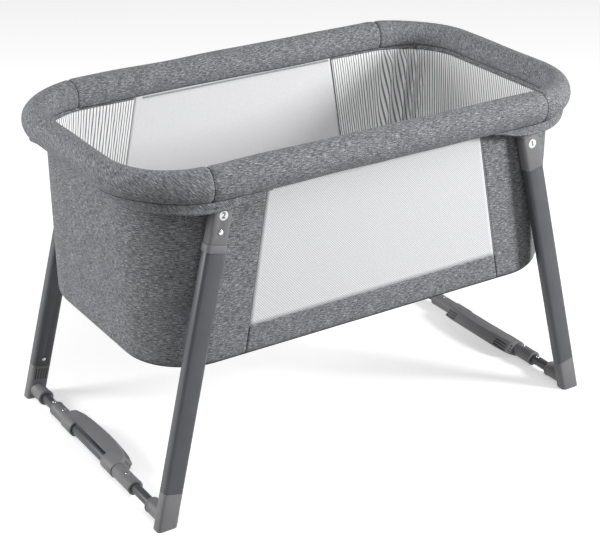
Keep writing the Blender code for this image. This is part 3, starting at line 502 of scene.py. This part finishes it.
leg_x = 0.297  # where the legs meet the rim
pucker_depth = 0.0016
pucker_reach = 0.07
pucker_drop = 0.05
leg_distances = [leg_x, rim_round / 2 - leg_x, rim_round / 2 + leg_x, rim_round - leg_x]
linen_step = 0.005
for side, name in ((-1, "left_end_panel"), (1, "right_end_panel")):
    columns = 190
    rows = []
    for height in even_heights(wall_bottom, wall_top, linen_step):
        first, last = end_span(side, height)
        free = math.sin(math.pi * (height - wall_bottom) / (wall_top - wall_bottom))
        row = []
        for c in range(columns + 1):
            distance = first + (last - first) * c / columns
            held = math.sin(math.pi * c / columns) ** 0.5
            swell = free * held * (0.0012 + slack(distance, height, 3.0 + side, 0.0024))
            swell += held * puckers(distance, wall_top - height, 5.0 + side)
            row.append(rim_point(distance, min(swell, 0.0022) - wall_inset(height), height))
        rows.append(row)
    panel = cloth_surface(name + "_linen", rows)
    apply_modifier(panel, "SOLIDIFY", thickness=cloth_thickness, offset=-1.0)
    sew_on(panel, linen, "melange_cloth", name)
    first, last = end_span(side, (wall_bottom + wall_top) / 2)

for face, name in ((-1, "front_panel"), (1, "back_panel")):
    columns = 90
    rows = []
    for height in even_heights(wall_bottom, strip_high.z, linen_step / 2):
        ends = [seam_x(height, -1, face) + seam_half, seam_x(height, 1, face) - seam_half]
        row = []
        for c in range(columns + 1):
            distance = window_distance(ends[0] + (ends[1] - ends[0]) * c / columns, face)
            row.append(rim_point(distance, -wall_inset(height), height))
        rows.append(row if face < 0 else row[::-1])
    strip = cloth_surface(name + "_linen", rows)
    apply_modifier(strip, "SOLIDIFY", thickness=cloth_thickness, offset=-1.0)
    sew_on(strip, linen, "melange_cloth", name)

# ---- Windows: one pane of white spacer mesh on each long side, held taut in the wall's seams. Its
# inner face is a closer plain knit.
mesh_knit, tree, output = new_material("white_spacer_mesh")
hole_pitch = 0.0030  # a real knit has a hole each 2 mm, drawn coarser so that it shows
cloth = add_node(tree, "ShaderNodeUVMap", uv_map="cloth").outputs["UV"]
turned = add_node(tree, "ShaderNodeMapping", {
    "Vector": cloth, "Rotation": (0.0, 0.0, math.radians(45)), "Scale": (1 / hole_pitch, 1 / hole_pitch, 1.0),
})
holes = add_node(tree, "ShaderNodeTexVoronoi", {
    "Vector": turned.outputs[0], "Scale": 1.0, "Randomness": 0.08,
})
knit = varied(tree, holes.outputs["Distance"], "#a9aaad", "#f1f1f3", 0.18, 0.42)
shader = add_node(tree, "ShaderNodeBsdfPrincipled", {
    "Base Color": knit, "Roughness": 0.85, "Specular IOR Level": 0.3, "Sheen Weight": 0.15,
    "Normal": relief(tree, holes.outputs["Distance"], 0.0005).outputs[0],
})
tree.links.new(shader.outputs[0], output.inputs["Surface"])

plain_knit, tree, output = new_material("white_plain_knit")
place = add_node(tree, "ShaderNodeTexCoord").outputs["Object"]
shader = add_node(tree, "ShaderNodeBsdfPrincipled", {
    "Base Color": varied(tree, speckle(tree, place, 0.002), "#dfdfe1", "#e5e5e7"),
    "Roughness": 0.85, "Specular IOR Level": 0.3, "Sheen Weight": 0.15,
    "Normal": relief(tree, speckle(tree, place, 0.0008), 0.0001).outputs[0],
})
tree.links.new(shader.outputs[0], output.inputs["Surface"])

mesh_thickness = 0.001
mesh_step = 0.008
mesh_slack = 0.0006
for face, name in ((-1, "front_mesh"), (1, "back_mesh")):
    columns = 80
    rows = []
    for height in even_heights(window_sill, wall_top, mesh_step):
        free = math.sin(math.pi * (height - window_sill) / (wall_top - window_sill))
        ends = [seam_x(height, -1, face) + 2 * seam_half, seam_x(height, 1, face) - 2 * seam_half]
        row = []
        for c in range(columns + 1):
            held = math.sin(math.pi * c / columns)
            distance = window_distance(ends[0] + (ends[1] - ends[0]) * c / columns, face)
            give = free * held * slack(distance, height, 9.0 * face, mesh_slack)
            row.append(rim_point(distance, give - wall_inset(height) - 0.0004, height))
        rows.append(row if face < 0 else row[::-1])
    window = cloth_surface(name + "_knit", rows)
    apply_modifier(window, "SOLIDIFY", thickness=mesh_thickness, offset=-1.0)
    sew_on(window, mesh_knit, "white_mesh", name)
    window.data.materials.append(plain_knit)
    for polygon in window.data.polygons:
        polygon.material_index = 1 if polygon.normal.y * face < 0 else 0

# ---- Piping: a thin dark cord under linen in the seams below the windows and all round the tub's
# lower edge. Beside the windows a paler binding hides the seam, and another edges their tops inside.
def plain_linen(name, dark, light):
    """Plain woven linen in one shade, as on bindings, cords and threads."""
    material, tree, output = new_material(name)
    place = add_node(tree, "ShaderNodeTexCoord").outputs["Object"]
    shader = add_node(tree, "ShaderNodeBsdfPrincipled", {
        "Base Color": varied(tree, speckle(tree, place, 0.0015), dark, light),
        "Roughness": 0.9, "Specular IOR Level": 0.2,
        "Normal": relief(tree, speckle(tree, place, 0.0012), 0.0002).outputs[0],
    })
    tree.links.new(shader.outputs[0], output.inputs["Surface"])
    return material


# This dark linen also makes the cord along each hem's top, which is painted shade in the crease there.
piping_and_shade_linen = plain_linen("dark_piping_and_shade_linen", "#2b2c2f", "#4a4b4f")
pale_linen = plain_linen("grey_binding_linen", "#8b8c8f", "#b4b5b8")


def piping(name, path, radius, cord_linen, ring=False):
    """A sewn-in cord along a path, also used for a dark cord that is painted shade; a ring joins its two
    ends.
    """
    spline_data = bpy.data.curves.new(name, "CURVE")
    spline_data.dimensions = "3D"
    spline_data.bevel_depth = radius
    spline_data.bevel_resolution = 2
    spline_data.use_fill_caps = not ring
    spline = spline_data.splines.new("POLY")
    spline.points.add(len(path) - 1)
    for point, place in zip(spline.points, path):
        point.co = (*place, 1.0)
    spline.use_cyclic_u = ring
    cord = bpy.data.objects.new(name, spline_data)
    scene.collection.objects.link(cord)
    deselect()
    cord.select_set(True)
    bpy.context.view_layer.objects.active = cord
    bpy.ops.object.convert(target="MESH")
    cord = bpy.context.object
    cord.data.materials.clear()
    cord.data.shade_smooth()
    return sew_on(cord, cord_linen, "melange_cloth")


seam_cord_radius = 0.0008
edge_cord_radius = 0.0011
for face, face_name in ((-1, "front"), (1, "back")):
    for side, side_name in ((-1, "left"), (1, "right")):
        for name, low, high, cord_linen in (
            ("panel_seam_", wall_bottom, window_sill, piping_and_shade_linen),
            ("window_edge_", window_sill, wall_top, pale_linen),
        ):
            path = []
            for height in even_heights(low, high, 0.012):
                distance = window_distance(seam_x(height, side, face), face)
                path.append(rim_point(distance, -wall_inset(height) - 0.0001, height))
            piping(name + face_name + "_" + side_name, path, seam_cord_radius, cord_linen)
edge_points = 320
path = [rim_point(rim_round * i / edge_points, -edge_inset - 0.0004, tub_bottom + 0.0012)
        for i in range(edge_points)]
piping("tub_edge_piping", path, edge_cord_radius, piping_and_shade_linen, ring=True)

edging_height = 0.5442
edging_radius = 0.0016
edging_inset = 0.0026  # from the wall's outer face to the middle of the cord
edging_share = 0.78  # of the window's width at its sill, because the seams lean in towards its top
edging_steps = 60
for face, face_name in ((-1, "front"), (1, "back")):
    path = []
    for step in range(edging_steps + 1):
        x = mesh_low.x * edging_share + (mesh_high.x - mesh_low.x) * edging_share * step / edging_steps
        inset = wall_inset(edging_height) + edging_inset
        path.append(rim_point(window_distance(x, face), -inset, edging_height))
    piping("window_edging_" + face_name, path, edging_radius, pale_linen)

# ---- Lining: white cotton with thin grey woven stripes, sewn under the rim and gathered as it turns
# the corners inside each end. Most of its fullness has slipped into deep folds at the back right.
stripe_pitch = 0.0046
striped, tree, output = new_material("striped_cotton")
cloth = add_node(tree, "ShaderNodeUVMap", uv_map="cloth").outputs["UV"]
split = add_node(tree, "ShaderNodeSeparateXYZ", {"Vector": cloth})
count = add_node(tree, "ShaderNodeMath", {0: split.outputs["X"], 1: 1 / stripe_pitch}, operation="MULTIPLY")
within = add_node(tree, "ShaderNodeMath", {0: count.outputs[0], 1: 0.5}, operation="PINGPONG")
line = varied(tree, within.outputs[0], "#7e7f83", "#fafafa", 0.10, 0.26)
yarn = speckle(tree, cloth, 0.0012)
shader = add_node(tree, "ShaderNodeBsdfPrincipled", {
    "Base Color": line, "Roughness": 0.9, "Specular IOR Level": 0.25, "Sheen Weight": 0.1,
    "Normal": relief(tree, yarn, 0.0002).outputs[0],
})
tree.links.new(shader.outputs[0], output.inputs["Surface"])

lining_low, lining_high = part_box("right_lining")
lining_depth = wall_thickness + 0.001
lining_thickness = 0.0008
pleat_depth = 0.0005  # soft pleats, three stripes wide
fold_lean = 0.07  # how far the folds lean over their height, as a share of the lining's length
fold_overlap = 0.35  # how far each fold lies over its neighbour, as a share of its depth
mattress_low, mattress_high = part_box("mattress")
gathers = {  # each fold's middle and width as shares of the lining's length, with its depth between
    -1: ((0.26, 0.005, 0.020), (0.34, 0.004, 0.016), (0.70, 0.006, 0.018), (0.78, 0.004, 0.014)),
    1: ((0.24, 0.005, 0.020), (0.34, 0.005, 0.014), (0.800, 0.013, 0.006), (0.828, 0.020, 0.007),
        (0.862, 0.026, 0.009), (0.905, 0.017, 0.010)),
}
for side, name in ((-1, "left_lining"), (1, "right_lining")):
    columns = 460
    rows = []
    for height in even_heights(lining_low.z, lining_high.z, 0.008):
        first, last = end_span(side, height)
        above = ramped(height, mattress_high.z, mattress_high.z + 0.05)
        below_rim = 1 - 0.85 * ramped(height, lining_high.z - 0.022, lining_high.z - 0.002)
        lean = fold_lean * (height - lining_low.z) / (lining_high.z - lining_low.z)
        row = []
        for c in range(columns + 1):
            share = c / columns
            distance = first + (last - first) * share
            pleat = pleat_depth * (1 - math.cos(2 * math.pi * distance / (3 * stripe_pitch)))
            folds = 0.0
            for middle, depth, width in gathers[side]:
                folds += depth * math.exp(-(((share - middle + lean) / width) ** 2))
            held = min(1.0, 30 * share, 30 * (1 - share))
            inset = wall_inset(height) + lining_depth + held * (0.0002 + above * below_rim * (pleat + folds))
            leant = fold_overlap * (inset - wall_inset(height) - lining_depth)
            row.append(rim_point(distance - leant, -inset, height))
        rows.append(row)
    lining = cloth_surface(name + "_cotton", rows)
    apply_modifier(lining, "SOLIDIFY", thickness=lining_thickness, offset=-1.0)
    sew_on(lining, striped, "striped_lining", name)

# ---- Floor of the tub: one piece of the same linen, sewn to the walls all round its piped edge. The
# bare hardboard base lies on it and carries the mattress.
floor_shares = (0.0, 0.25, 0.5, 0.75, 0.9, 1.0)
middle_share = 0.02  # the innermost ring, as a share of the floor's size, which one face closes
middle_reach = 0.02  # open edges this near the middle, in metres, belong to that ring
columns = 160
rows = []
for share in floor_shares:
    reach = middle_share + (1 - middle_share) * share
    row = []
    for c in range(columns):
        spot, _ = rim_spot(rim_round * c / columns, edge_inset)
        row.append(Vector((spot.x * reach, spot.y * reach, tub_bottom)))
    rows.append(row)
tub_floor = cloth_surface("tub_floor_linen", rows, ring=True)
bm = bmesh.new()
bm.from_mesh(tub_floor.data)
hole = [edge for edge in bm.edges if edge.is_boundary and edge.verts[0].co.xy.length < middle_reach]
bmesh.ops.holes_fill(bm, edges=hole)
bmesh.ops.recalc_face_normals(bm, faces=bm.faces[:])
if bm.faces[0].normal.z > 0:
    bmesh.ops.reverse_faces(bm, faces=bm.faces[:])
bm.to_mesh(tub_floor.data)
bm.free()
apply_modifier(tub_floor, "SOLIDIFY", thickness=floor_high.z - floor_low.z, offset=-1.0)
sew_on(tub_floor, linen, "melange_cloth", "tub_floor")

hardboard = coated("bare_hardboard", "#6d5f4e", "#84745f", 0.7, 0.0012, 0.0001)
dress("base_board", hardboard, 0.0005)

# ---- Mattress: a foam pad in white cotton, quilted in diamonds and crowned. Its top and bottom
# covers are sewn together round its middle height, so its sides are round.
mattress_cotton, tree, output = new_material("quilted_cotton")
place = add_node(tree, "ShaderNodeTexCoord").outputs["Object"]
shader = add_node(tree, "ShaderNodeBsdfPrincipled", {
    "Base Color": varied(tree, speckle(tree, place, 0.02, 3.0), "#e9e9e8", "#f3f3f2"),
    "Roughness": 0.9, "Specular IOR Level": 0.25, "Sheen Weight": 0.15,
    "Normal": relief(tree, speckle(tree, place, 0.0012), 0.0002).outputs[0],
})
tree.links.new(shader.outputs[0], output.inputs["Surface"])

pad_middle = (mattress_low.z + mattress_high.z) / 2
pad_half = (mattress_high.z - mattress_low.z) / 2
pad_inset = rim_half_width - mattress_high.y
pad_reach = corner_radius - pad_inset
quilt_pitch = 0.075
quilt_groove = 0.0030
quilt_groove_width = 0.005
quilt_slant = 1.2
crown_share = 0.12  # how far in from its edge the pad reaches its full thickness


def pad_height(x, y, share):
    """How far the pad's skin stands from its middle seam, from the seam (0) to the middle (1)."""
    edge = min(1.0, share / crown_share)
    rise = pad_half * math.sqrt(max(0.0, 1 - (1 - edge) ** 2))
    diagonals = [((x + way * y * quilt_slant) / quilt_pitch + 0.5) % 1 - 0.5 for way in (-1, 1)]
    nearest = min(abs(diagonal) for diagonal in diagonals) * quilt_pitch
    groove = math.exp(-((nearest / quilt_groove_width) ** 2))
    return rise - quilt_groove * groove * edge


pad = bmesh.new()
pad_x = mattress_high.x
pad_y = mattress_high.y
across_count = 84
along_count = 160
end_crowding = 1.25  # above 1, the grid's columns stand closer towards the pad's ends
under_edge_share = 0.06
half_across = [math.sin(math.pi / 2 * (2 * j / across_count - 1)) for j in range(across_count + 1)]
skins = []
for skin in (1, -1):
    grid = []
    for v in half_across:
        y = v * pad_y
        into_corner = max(0.0, abs(y) - (pad_y - pad_reach))
        reach_x = pad_x - pad_reach + math.sqrt(max(0.0, pad_reach ** 2 - into_corner ** 2))
        row = []
        for i in range(along_count + 1):
            u = 2 * i / along_count - 1
            u = math.copysign(1 - (1 - abs(u)) ** end_crowding, u)
            x = u * reach_x
            share = min((reach_x - abs(x)) / pad_y, (pad_y - abs(y)) / pad_y)
            share = max(0.0, share)
            lift = pad_half * min(1.0, share / under_edge_share) ** 0.5
            if skin > 0:
                lift = pad_height(x, y, share)
            row.append(Vector((x, y, pad_middle + skin * lift)))
        grid.append(row)
    skins.append(grid)
points = [[[pad.verts.new(point) for point in row] for row in grid] for grid in skins]
for grid, flip in zip(points, (False, True)):
    for r in range(across_count):
        for c in range(along_count):
            quad = [grid[r][c], grid[r][c + 1], grid[r + 1][c + 1], grid[r + 1][c]]
            pad.faces.new(quad[::-1] if flip else quad)
bmesh.ops.remove_doubles(pad, verts=pad.verts[:], dist=0.00002)
bmesh.ops.dissolve_degenerate(pad, edges=pad.edges[:], dist=0.00001)
pad_mesh = bpy.data.meshes.new("mattress_pad")
pad.to_mesh(pad_mesh)
pad.free()
pad_mesh.shade_smooth()
mattress = bpy.data.objects.new("mattress_pad", pad_mesh)
scene.collection.objects.link(mattress)
sew_on(mattress, mattress_cotton, "mattress_cloth", "mattress")

# ---- Rim cover: a padded sleeve of the same linen round the rail, sewn from two straight lengths and
# two bends cut on the bias, which are drawn tighter. It is open underneath for the legs and the tub.
_, cover_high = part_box("rim_cover")
cover_half_height = cover_high.z - rim_height
cover_half_width = cover_high.y - rim_half_width
bend_share = (cover_high.x - rim_half_length) / cover_half_width
mouth_out = 0.0101
mouth_in = top_inset + wall_thickness + 0.001
mouth_roof = -0.006
hollow = rail_radius + 0.0007
rim_seam_x = 0.320
seam_distance = centre_x + corner_radius * math.asin((rim_seam_x - centre_x) / corner_radius)
half_round = rim_round / 2
seams = [seam_distance, half_round - seam_distance, half_round + seam_distance, rim_round - seam_distance]
seam_pinch = 0.0022
seam_pinch_width = 0.003
seam_pull = 0.0009
seam_pull_width = 0.02
outer_count = 31
hollow_count = 13


def past_side(distance):
    """How far a place on the rim is past the middle of the nearest long side."""
    rest = distance % (rim_round / 2)
    return min(rest, rim_round / 2 - rest)


def fullness(distance):
    """The cover's size at a place on the rim: full on the long sides, drawn in round the bends."""
    return 1 - (1 - bend_share) * ramped(past_side(distance) - centre_x, 0.0, corner_arc * 0.6)


def cover_section(share):
    """The sleeve's section as (outward, up) points: round outside, then in through its mouth."""
    half_width = cover_half_width * share
    half_height = cover_half_height * share
    start = -math.acos(mouth_out / half_width)
    end = math.pi + math.acos(mouth_in / half_width)
    points = []
    for i in range(outer_count):
        turn = start + (end - start) * i / (outer_count - 1)
        points.append((half_width * math.cos(turn), half_height * math.sin(turn)))
    points.append((-mouth_in, mouth_roof))
    roof = math.asin(-mouth_roof / hollow)
    for i in range(hollow_count):
        turn = math.pi + roof - (math.pi + 2 * roof) * i / (hollow_count - 1)
        points.append((hollow * math.cos(turn), hollow * math.sin(turn)))
    points.append((mouth_out, mouth_roof))
    return points


def seam_gap(distance):
    return min(abs((distance - seam + rim_round / 2) % rim_round - rim_round / 2) for seam in seams)


def cover_ring(distance):
    """One ring of the cover: pinched in at a seam, with small pulls beside it and soft unevenness."""
    share = fullness(distance)
    gap = seam_gap(distance)
    pinch = seam_pinch * math.exp(-((gap / seam_pinch_width) ** 2))
    pulls = seam_pull * math.exp(-((gap / seam_pull_width) ** 2))
    ring = []
    for index, (out, up) in enumerate(cover_section(share)):
        if index < outer_count:
            turn = index / (outer_count - 1)
            pucker = slack(distance + turn * 0.06, turn * 0.9, 1.0, 0.0012)
            pucker += pulls * noise.noise(Vector((distance * 110.0, turn * 9.0, 4.0)))
            away = 1 + (pucker - pinch) / cover_half_width
            ring.append(rim_point(distance, out * away, rim_height + up * away))
        else:
            ring.append(rim_point(distance, out, rim_height + up))
    return ring


ring_step = 0.0045
ring_count = round(rim_round / ring_step)
fine_step = 0.0012  # rings stand closer beside a seam, where the cover is pinched
fine_count = 4
distances = [rim_round * i / ring_count for i in range(ring_count)]
for seam in seams:
    distances = [place for place in distances if abs(place - seam) > (fine_count + 1) * fine_step]
    distances += [seam + fine_step * i for i in range(-fine_count, fine_count + 1)]
distances.sort()
rings = [cover_ring(distance) for distance in distances]
rows = [[ring[j] for ring in rings] for j in range(len(rings[0]))]
cover = cloth_surface("rim_cover_padding", rows, ring=True, tube=True)
bm = bmesh.new()
bm.from_mesh(cover.data)
bmesh.ops.recalc_face_normals(bm, faces=bm.faces[:])
bm.to_mesh(cover.data)
bm.free()
sew_on(cover, linen, "melange_cloth", "rim_cover")
cover.data.materials.append(linen_on_bias)
for polygon in cover.data.polygons:
    polygon.material_index = 1 if abs(polygon.center.x) > rim_seam_x else 0

seam_thread_radius = 0.0007
for index, seam in enumerate(seams):
    path = []
    for point in cover_ring(seam)[:outer_count]:
        middle = rim_point(seam, 0.0, rim_height)
        path.append(point + (point - middle).normalized() * 0.0001)
    piping("rim_seam_thread_" + str(index + 1), path, seam_thread_radius, piping_and_shade_linen)

# ---- Hems: the free lower edge of the rim cover at each bend, a narrow doubled band with a row of
# stitches, which hangs over the leg's socket and dies away into the wall on either side. A dark cord
# along each hem's top is painted shade for the crease under the cover.
stitch_thread, tree, output = new_material("pale_stitch_thread")
place = add_node(tree, "ShaderNodeTexCoord").outputs["Object"]
shader = add_node(tree, "ShaderNodeBsdfPrincipled", {
    "Base Color": varied(tree, speckle(tree, place, 0.002), "#85868a", "#b9babd"), "Roughness": 0.8,
    "Normal": relief(tree, speckle(tree, place, 0.0006), 0.0001).outputs[0],
})
tree.links.new(shader.outputs[0], output.inputs["Surface"])

hem_drop = 0.0185
hem_start = 0.205
hem_thickness = 0.0014
hem_reach = corner_arc + centre_x + 0.012 - hem_start


def hem_place(along, drop_share):
    """The distance, way out and height of a spot on the front right hem, from its top (0) to its edge (1)."""
    distance = hem_start + hem_reach * along
    shown = ramped(along, 0.0, 0.30) * ramped(1 - along, 0.0, 0.30)
    share = fullness(distance)
    wrinkle = 0.0005 + 0.0014 * ramped(seam_distance - distance, 0.0, 0.03)
    stand_off = mouth_out + 0.0012 + wrinkle * noise.noise(Vector((distance * 48.0, drop_share * 1.5, 6.0)))
    top = -cover_half_height * share * math.sqrt(1 - (stand_off / (cover_half_width * share)) ** 2) + 0.0004
    edge = 0.0011 * noise.noise(Vector((distance * 22.0, 0.0, 8.0)))
    drop = (hem_drop * shown + edge * shown) * drop_share
    lean = -0.0012 * drop_share * shown
    return distance, stand_off + hem_thickness + lean, rim_height + top - drop


def hem_point(flips, distance, out, height):
    """A point beside the rim at the front right, mirrored to the hem's own corner."""
    point = rim_point(distance, out, height)
    return Vector((point.x * flips[0], point.y * flips[1], point.z))


hem_mirrors = {"front_right": (1, 1), "front_left": (-1, 1), "back_right": (1, -1), "back_left": (-1, -1)}
hem_trim = 0.04  # the share of the hem's reach left off at either end, where it has no height
hem_columns = 150
hem_rows = 7
# The crease cord is painted shadow: a dark cord laid along the hem's top.
crease_shadow_trim = 0.08
crease_shadow_steps = 60
crease_shadow_radius = 0.0007
stitch_pitch = 0.0042
stitch_length = 0.0028
stitch_radius = 0.00035
stitch_start = 0.15  # stitches show where the hem has its full drop
stitched_share = 0.7
stitch_row_share = 0.8  # how far down the hem the row of stitches runs
for corner, flips in hem_mirrors.items():
    rows = []
    for r in range(hem_rows):
        row = []
        for c in range(hem_columns + 1):
            along = hem_trim + (1 - 2 * hem_trim) * c / hem_columns
            row.append(hem_point(flips, *hem_place(along, r / (hem_rows - 1))))
        rows.append(row if flips[0] * flips[1] > 0 else row[::-1])
    hem = cloth_surface("rim_hem_" + corner, rows[::-1])
    apply_modifier(hem, "SOLIDIFY", thickness=hem_thickness, offset=-1.0)
    sew_on(hem, linen_on_bias, "melange_cloth")

    # A dark cord along the hem's top, as painted shade in the crease under the cover's lower edge.
    crease_shadow = []
    for c in range(crease_shadow_steps + 1):
        distance, out, height = hem_place(crease_shadow_trim + (1 - 2 * crease_shadow_trim) * c / crease_shadow_steps, 0.0)
        crease_shadow.append(hem_point(flips, distance, out - 0.0004, height))
    piping("hem_crease_shadow_" + corner, crease_shadow, crease_shadow_radius, piping_and_shade_linen)

    stitches = bmesh.new()
    for i in range(int(hem_reach * stitched_share / stitch_pitch)):
        spots = []
        for end in (0.0, stitch_length):
            along = stitch_start + (i * stitch_pitch + end) / hem_reach
            distance, out, height = hem_place(along, stitch_row_share)
            spots.append(hem_point(flips, distance, out + 0.0001, height))
        direction = (spots[1] - spots[0]).normalized()
        turn = Vector((0, 0, 1)).rotation_difference(direction).to_matrix().to_4x4()
        bmesh.ops.create_cone(
            stitches, cap_ends=True, segments=6, radius1=stitch_radius, radius2=stitch_radius,
            depth=stitch_length, matrix=Matrix.Translation((spots[0] + spots[1]) / 2) @ turn,
        )
    stitch_mesh = bpy.data.meshes.new("hem_stitches_" + corner)
    stitches.to_mesh(stitch_mesh)
    stitches.free()
    stitch_row = bpy.data.objects.new("hem_stitches_" + corner, stitch_mesh)
    scene.collection.objects.link(stitch_row)
    sew_on(stitch_row, stitch_thread, "melange_cloth")

# ---- Badges: small white discs with a dark raised numeral, pressed into the sockets, which pair each
# leg with its corner. Opposite corners carry the same numeral.
badge_white = coated("white_badge_plastic", "#ececec", "#f4f4f4", 0.4, 0.0008, 0.00002)
badge_ink = coated("dark_badge_ink", "#3a3b3e", "#434448", 0.5, 0.0008, 0.00002)
badge_radius = 0.0078
badge_thickness = 0.0008
numeral_size = 0.0135
leg_end_depth = 0.009  # a leg's cut ends lie within this height


def middle_of(points):
    """The middle of the box that holds some points."""
    return Vector([(min(p[i] for p in points) + max(p[i] for p in points)) / 2 for i in range(3)])


for corner in corners:
    face = -1 if corner.startswith("front") else 1
    side = -1 if corner.endswith("left") else 1
    leg = nodes["leg_tube_" + corner]
    corners_of_leg = [vertex.co.copy() for vertex in leg.data.vertices]
    lowest = min(point.z for point in corners_of_leg)
    highest = max(point.z for point in corners_of_leg)
    feet = [point for point in corners_of_leg if point.z < lowest + leg_end_depth]
    tops = [point for point in corners_of_leg if point.z > highest - leg_end_depth]
    foot = middle_of(feet)
    top = middle_of(tops)
    up = (top - foot).normalized()
    along = Vector((1.0, 0.0, 0.0))
    along = (along - up * along.dot(up)).normalized()
    across = up.cross(along)
    outward = across * face
    leg_depth = max((point - foot).dot(outward) for point in feet)
    numeral = "2" if side == face else "1"
    badge_height = 0.516 if numeral == "2" else 0.507
    middle = foot + up * ((badge_height - foot.z) / up.z) + outward * leg_depth
    right = up.cross(outward)
    turn = Matrix((right, up, outward)).transposed().to_4x4()
    deselect()
    bpy.ops.mesh.primitive_cylinder_add(vertices=40, radius=badge_radius, depth=badge_thickness)
    disc = bpy.context.object
    disc.name = "badge_" + corner
    disc.data.name = disc.name
    disc.data.transform(Matrix.Translation(middle + outward * 0.0002) @ turn)
    apply_modifier(disc, "BEVEL", width=0.00025, segments=2, limit_method="ANGLE")
    disc.data.materials.append(badge_white)
    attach(disc, "stand_and_tub")
    bpy.ops.object.text_add()
    digit = bpy.context.object
    digit.data.body = numeral
    digit.data.size = numeral_size
    digit.data.extrude = 0.00015
    digit.data.align_x = "CENTER"
    digit.data.align_y = "CENTER"
    digit.data.offset = 0.0003
    deselect()
    digit.select_set(True)
    bpy.context.view_layer.objects.active = digit
    bpy.ops.object.convert(target="MESH")
    digit = bpy.context.object
    digit.name = "badge_numeral_" + corner
    digit.data.name = digit.name
    digit.data.transform(Matrix.Translation(middle + outward * 0.0006) @ turn)
    digit.matrix_world = Matrix.Identity(4)
    digit.data.materials.clear()
    digit.data.materials.append(badge_ink)
    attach(digit, "stand_and_tub")
